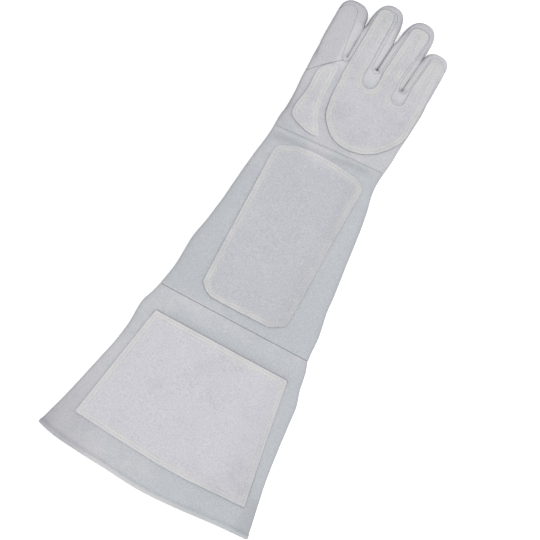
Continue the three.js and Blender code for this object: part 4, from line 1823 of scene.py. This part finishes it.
@dataclass
class Hand:
    """The hand's back, the index finger's back, the strips between the fingers and the palm."""

    forms: Forms
    shop: Workshop
    leather: Cut = Cut(edge_radius=0.55)
    taper: float = 26.0
    taper_rise: float = 11.5
    lap: float = 1.2
    groove: float = 0.25

    def strip_foot(self, index: int) -> Curve:
        """Works out the lower edge of a side strip, which rises to a point near the fingertips.

        Args:
            index: Which strip, from the index finger's side.

        Returns:
            The edge's height at y.
        """
        end = CROTCHES[index].tip + 4
        rise = Profile((end - self.taper, end), (-FOURCHETTE_DROP, self.taper_rise))
        return lambda y: widest_height(y) + rise(y)

    def panels(self) -> dict[str, Region]:
        """Divides the hand into its panels.

        Returns:
            Their regions by node.
        """
        count = range(len(CROTCHES))
        strips = [crotch_area(i) & above(self.strip_foot(i)) for i in count]
        strip = strips[0] | strips[1] | strips[2]
        bare = [crotch_area(i) & above(self.strip_foot(i)).grown(-self.lap) for i in count]
        back = hand_area() & BACK_SIDE & (~strip).grown(-2 * JOIN)
        index = index_area() & BACK_SIDE & (~strip).grown(-2 * JOIN) & (~back).grown(-2 * JOIN)
        taken = bare[0] | bare[1] | bare[2] | back | index
        start = PAST_WRIST.grown(-self.groove)
        before_thumb = (~PAST_THUMB_SEAM).grown(-JOIN) | OVER_THUMB
        return {
            "hand_back": back & start,
            "index_back": index & start,
            "fourchette_index_middle": strips[0],
            "fourchette_middle_ring": strips[1],
            "fourchette_ring_little": strips[2],
            "palm": (~taken).grown(-2 * JOIN) & start & before_thumb,
        }

    def build(self) -> None:
        """Makes the pieces."""
        for node, region in self.panels().items():
            self.shop.make(self.forms.hand, node, region, self.leather)


@dataclass
class Thumb:
    """The two halves of the thumb, folded under the palm."""

    forms: Forms
    shop: Workshop
    leather: Cut = Cut(edge_radius=0.8)

    def build(self) -> None:
        """Makes the pieces."""
        middle = above(lambda y: np.full_like(y, THUMB_HALF_HEIGHT))
        halves = {"thumb_inner": middle, "thumb_outer": ~middle}
        for node, half in halves.items():
            region = half.grown(-JOIN) & PAST_THUMB_SEAM.grown(-JOIN)
            self.shop.make(self.forms.thumb, node, region, self.leather)


def contours(sheet: bmesh.types.BMesh, region: Region, depth: float) -> list[np.ndarray]:
    """Lines on a sheet at one distance inside a region's edge.

    Args:
        sheet: A cut sheet.
        region: The region.
        depth: The distance.

    Returns:
        For each line, its points in order with their normals, as rows of six numbers.
    """
    bm = sheet.copy()
    place, normal = (bm.verts.layers.float_vector[name] for name in (PLACE, NORMAL))
    for vert, height in zip(bm.verts, region(coordinates(bm.verts)) - depth):
        stand(vert, place, height)
    everything = bm.verts[:] + bm.edges[:] + bm.faces[:]
    cut = bmesh.ops.bisect_plane(bm, geom=everything, dist=0.02, plane_co=(0, 0, 0), plane_no=(0, 0, 1))
    beside: dict[bmesh.types.BMVert, list[bmesh.types.BMVert]] = {}
    for item in cut["geom_cut"]:
        if isinstance(item, bmesh.types.BMEdge):
            first, second = item.verts
            beside.setdefault(first, []).append(second)
            beside.setdefault(second, []).append(first)
    lines = []
    left = set(beside)
    while left:
        ends = [vert for vert in left if len(beside[vert]) == 1]
        vert = min(ends or left, key=lambda v: v.index)
        line = [vert]
        left.discard(vert)
        while True:
            following = [other for other in beside[line[-1]] if other in left]
            if not following:
                break
            line.append(following[0])
            left.discard(following[0])
        if len(line) > 3:
            if not ends and line[0] in beside[line[-1]]:
                line.append(line[0])
            lines.append(np.array([[*v[place], *v[normal].normalized()] for v in line]))
    bm.free()
    return lines


def settle(sheet: bmesh.types.BMesh, drop: np.ndarray) -> None:
    """Lets a cut sheet lie lower in places.

    Args:
        sheet: The sheet.
        drop: How much lower each of its points lies.
    """
    place, normal = (sheet.verts.layers.float_vector[name] for name in (PLACE, NORMAL))
    for vert, by in zip(sheet.verts, drop):
        vert.co = vert.co - vert[normal] * float(by)
        vert[place] = vert.co


@dataclass(frozen=True)
class Stitch:
    """The size of one stitch of a row and the distance between stitches."""

    pitch: float = 3.2
    length: float = 2.3
    width: float = 0.75
    height: float = 0.5


def sew(line: np.ndarray, lift: float, stitch: Stitch, thread: bmesh.types.BMesh) -> int:
    """Lays stitches along a line.

    Args:
        line: Points with normals, in order.
        lift: How high the stitches lie over the points.
        stitch: Their size.
        thread: The bmesh that takes them.

    Returns:
        How many were laid.
    """
    steps = np.linalg.norm(np.diff(line[:, :3], axis=0), axis=1)
    at = np.concatenate([[0], np.cumsum(steps)])
    count = int(at[-1] / stitch.pitch)
    if count < 1:
        return 0
    stops = (np.arange(count) + 0.5) * at[-1] / count
    reach = 0.5 * stitch.length

    def sample(stops: np.ndarray) -> np.ndarray:
        """The line at some distances along it."""
        return np.stack([np.interp(stops, at, line[:, i]) for i in range(6)], axis=1)

    places, before, after = sample(stops), sample(stops - reach), sample(stops + reach)
    for here, low, high in zip(places, before, after):
        normal = Vector(here[3:]).normalized()
        way = Vector(high[:3] - low[:3])
        way = (way - normal * way.dot(normal)).normalized()
        side = normal.cross(way)
        centre = Vector(here[:3]) + normal * lift
        turn = Matrix((way, side, normal)).transposed().to_4x4()
        size = Matrix.Diagonal((0.5 * stitch.length, 0.5 * stitch.width, 0.5 * stitch.height, 1))
        place = Matrix.Translation(centre) @ turn @ size
        bmesh.ops.create_uvsphere(thread, u_segments=6, v_segments=4, radius=1, matrix=place)
    return count


class Worn(NamedTuple):
    """How much lower a patch's worn edge lies, and how far in from the edge that reaches."""

    drop: float
    reach: float

    def at(self, from_edge: np.ndarray) -> np.ndarray:
        """The drop at some distances from the edge."""
        return self.drop * (1 - smoothstep(0, self.reach, from_edge))


@dataclass
class Patches:
    """The second layers of leather and the thread that holds them."""

    forms: Forms
    shop: Workshop
    leather: Cut = Cut(thickness=1.6, lift=1.9, edge_radius=0.6)
    stitch: Stitch = Stitch()
    rows: tuple[float, ...] = STITCH_ROWS
    raised: float = 0.12
    forearm_ease: float = 3
    cuff_ease: float = 1.2
    side_worn: Worn = Worn(1.7, 9)
    forearm_worn: Worn = Worn(1.2, 8)
    cuff_worn: Worn = Worn(0.9, 7)
    little_worn: Worn = Worn(1.2, 7)

    def areas(self) -> dict[str, tuple[bmesh.types.BMesh, Region]]:
        """Outlines the patches.

        Returns:
            Each patch's form and region by node.
        """
        forearm = inside(eased(FOREARM_PATCH, self.forearm_ease))
        cuff = inside(eased(CUFF_PATCH, self.cuff_ease))
        side = inside(smooth_outline(SIDE_PATCH))
        return {
            "hand_patch": (self.forms.hand, hand_patch_area() & TOP_SIDE),
            "side_patch": (self.forms.hand, side & TOP_SIDE),
            "forearm_patch": (self.forms.sleeve, forearm & TOP_SIDE),
            "cuff_patch": (self.forms.sleeve, cuff & TOP_SIDE),
        }

    def flattened(self, points: Points, region: Region) -> np.ndarray:
        """Works out how much lower a patch lies where its edge is worn flat.

        Args:
            points: The points of the patch.
            region: Its region.

        Returns:
            The drop at each point, along the side patch's right edge, the forearm patch's top edge, the cuff
            patch's right edge and the hand patch's edge round the little fingertip.
        """
        x, y = points[:, 0], points[:, 1]
        from_edge = region(points)
        from_right = SIDE_PATCH_RIGHT(y) - x
        side = self.side_worn.at(from_right) * (from_right > -3) * (y > WRIST_Y)
        forearm = self.forearm_worn.at(from_edge) * ARM_PATCH_WORN.share(points) * (y < PATCHES_PART_Y)
        cuff = self.cuff_worn.at(from_edge) * CUFF_PATCH_WORN.share(points)
        little = self.little_worn.at(from_edge) * little_tip(points)
        return side + forearm + cuff + little

    def build(self) -> None:
        """Makes the pieces and their stitching."""
        for node, (form, region) in self.areas().items():
            sheet = cut_sheet(form, region, self.leather.edge_radius)
            settle(sheet, self.flattened(coordinates(sheet.verts), region))
            thread = bmesh.new()
            count = 0
            for row in self.rows:
                for line in contours(sheet, region, row):
                    count += sew(line, self.leather.lift + self.raised, self.stitch, thread)
            self.shop.finish(f"{node}_leather", lay(sheet, self.leather), Slot.PATCH, node)
            self.shop.finish(f"{node}_stitching", thread, Slot.THREAD)
            log.info("%s has %d stitches", node, count)


@dataclass(frozen=True)
class Studio:
    """The floor, the lights and the camera over the glove."""

    place: Matrix
    turn: float = 28.5
    centre: tuple[float, float] = (10.0, 277.8)
    view_width: float = 0.594
    lens: float = 200.0
    sensor: float = 36
    sight: float = 50
    glove_height: float = 0.02
    floor_size: float = 4
    paper: Paper = Paper()
    world_strength: float = 0.78
    key_energy: float = 226.0
    key_size: float = 3.0
    key_place: tuple[float, float, float] = (0.6, 0.5, 5.9)

    def build(self) -> None:
        """Sets up the studio."""
        scene = bpy.context.scene
        scene.view_settings.view_transform = "Standard"
        self.floor()
        self.light()
        camera = bpy.data.cameras.new("camera")
        camera.lens = self.lens
        camera.sensor_width = self.sensor
        camera.clip_end = self.sight
        seat = bpy.data.objects.new("camera", camera)
        height = self.view_width * self.lens / camera.sensor_width
        turn = Matrix.Rotation(math.radians(self.turn), 4, "Z")
        middle = self.place @ Vector((*self.centre, 0))
        above_glove = Vector((0, 0, height + self.glove_height))
        seat.matrix_world = Matrix.Translation(middle + above_glove) @ turn
        scene.collection.objects.link(seat)
        scene.camera = seat

    def floor(self) -> None:
        """A wide pale floor."""
        bm = bmesh.new()
        bmesh.ops.create_grid(bm, x_segments=1, y_segments=1, size=self.floor_size)
        mesh = bpy.data.meshes.new("floor")
        bm.to_mesh(mesh)
        bm.free()
        floor = bpy.data.objects.new("floor", mesh)
        mesh.materials.append(self.paper.material())
        bpy.context.scene.collection.objects.link(floor)

    def light(self) -> None:
        """A white surround and one large soft lamp."""
        world = bpy.data.worlds.new("studio")
        world.use_nodes = True
        surround = world.node_tree.nodes["Background"]
        surround.inputs["Color"].default_value = (1, 1, 1, 1)
        surround.inputs["Strength"].default_value = self.world_strength
        bpy.context.scene.world = world
        lamp = bpy.data.lights.new("key", "AREA")
        lamp.shape = "DISK"
        lamp.size = self.key_size
        lamp.energy = self.key_energy
        key = bpy.data.objects.new("key", lamp)
        where = Vector(self.key_place)
        key.matrix_world = Matrix.Translation(where) @ where.to_track_quat("Z", "Y").to_matrix().to_4x4()
        bpy.context.scene.collection.objects.link(key)


def main() -> None:
    """Builds the glove and the studio round it."""
    logging.basicConfig(level=logging.INFO, format="%(name)s %(message)s")
    forms = Forms()
    forms.build()
    shop = Workshop()
    for group in (Sleeve(forms, shop), Hand(forms, shop), Thumb(forms, shop), Patches(forms, shop)):
        log.info("building %s", type(group).__name__)
        group.build()
    Studio(shop.place).build()


if __name__ == "__main__":
    main()
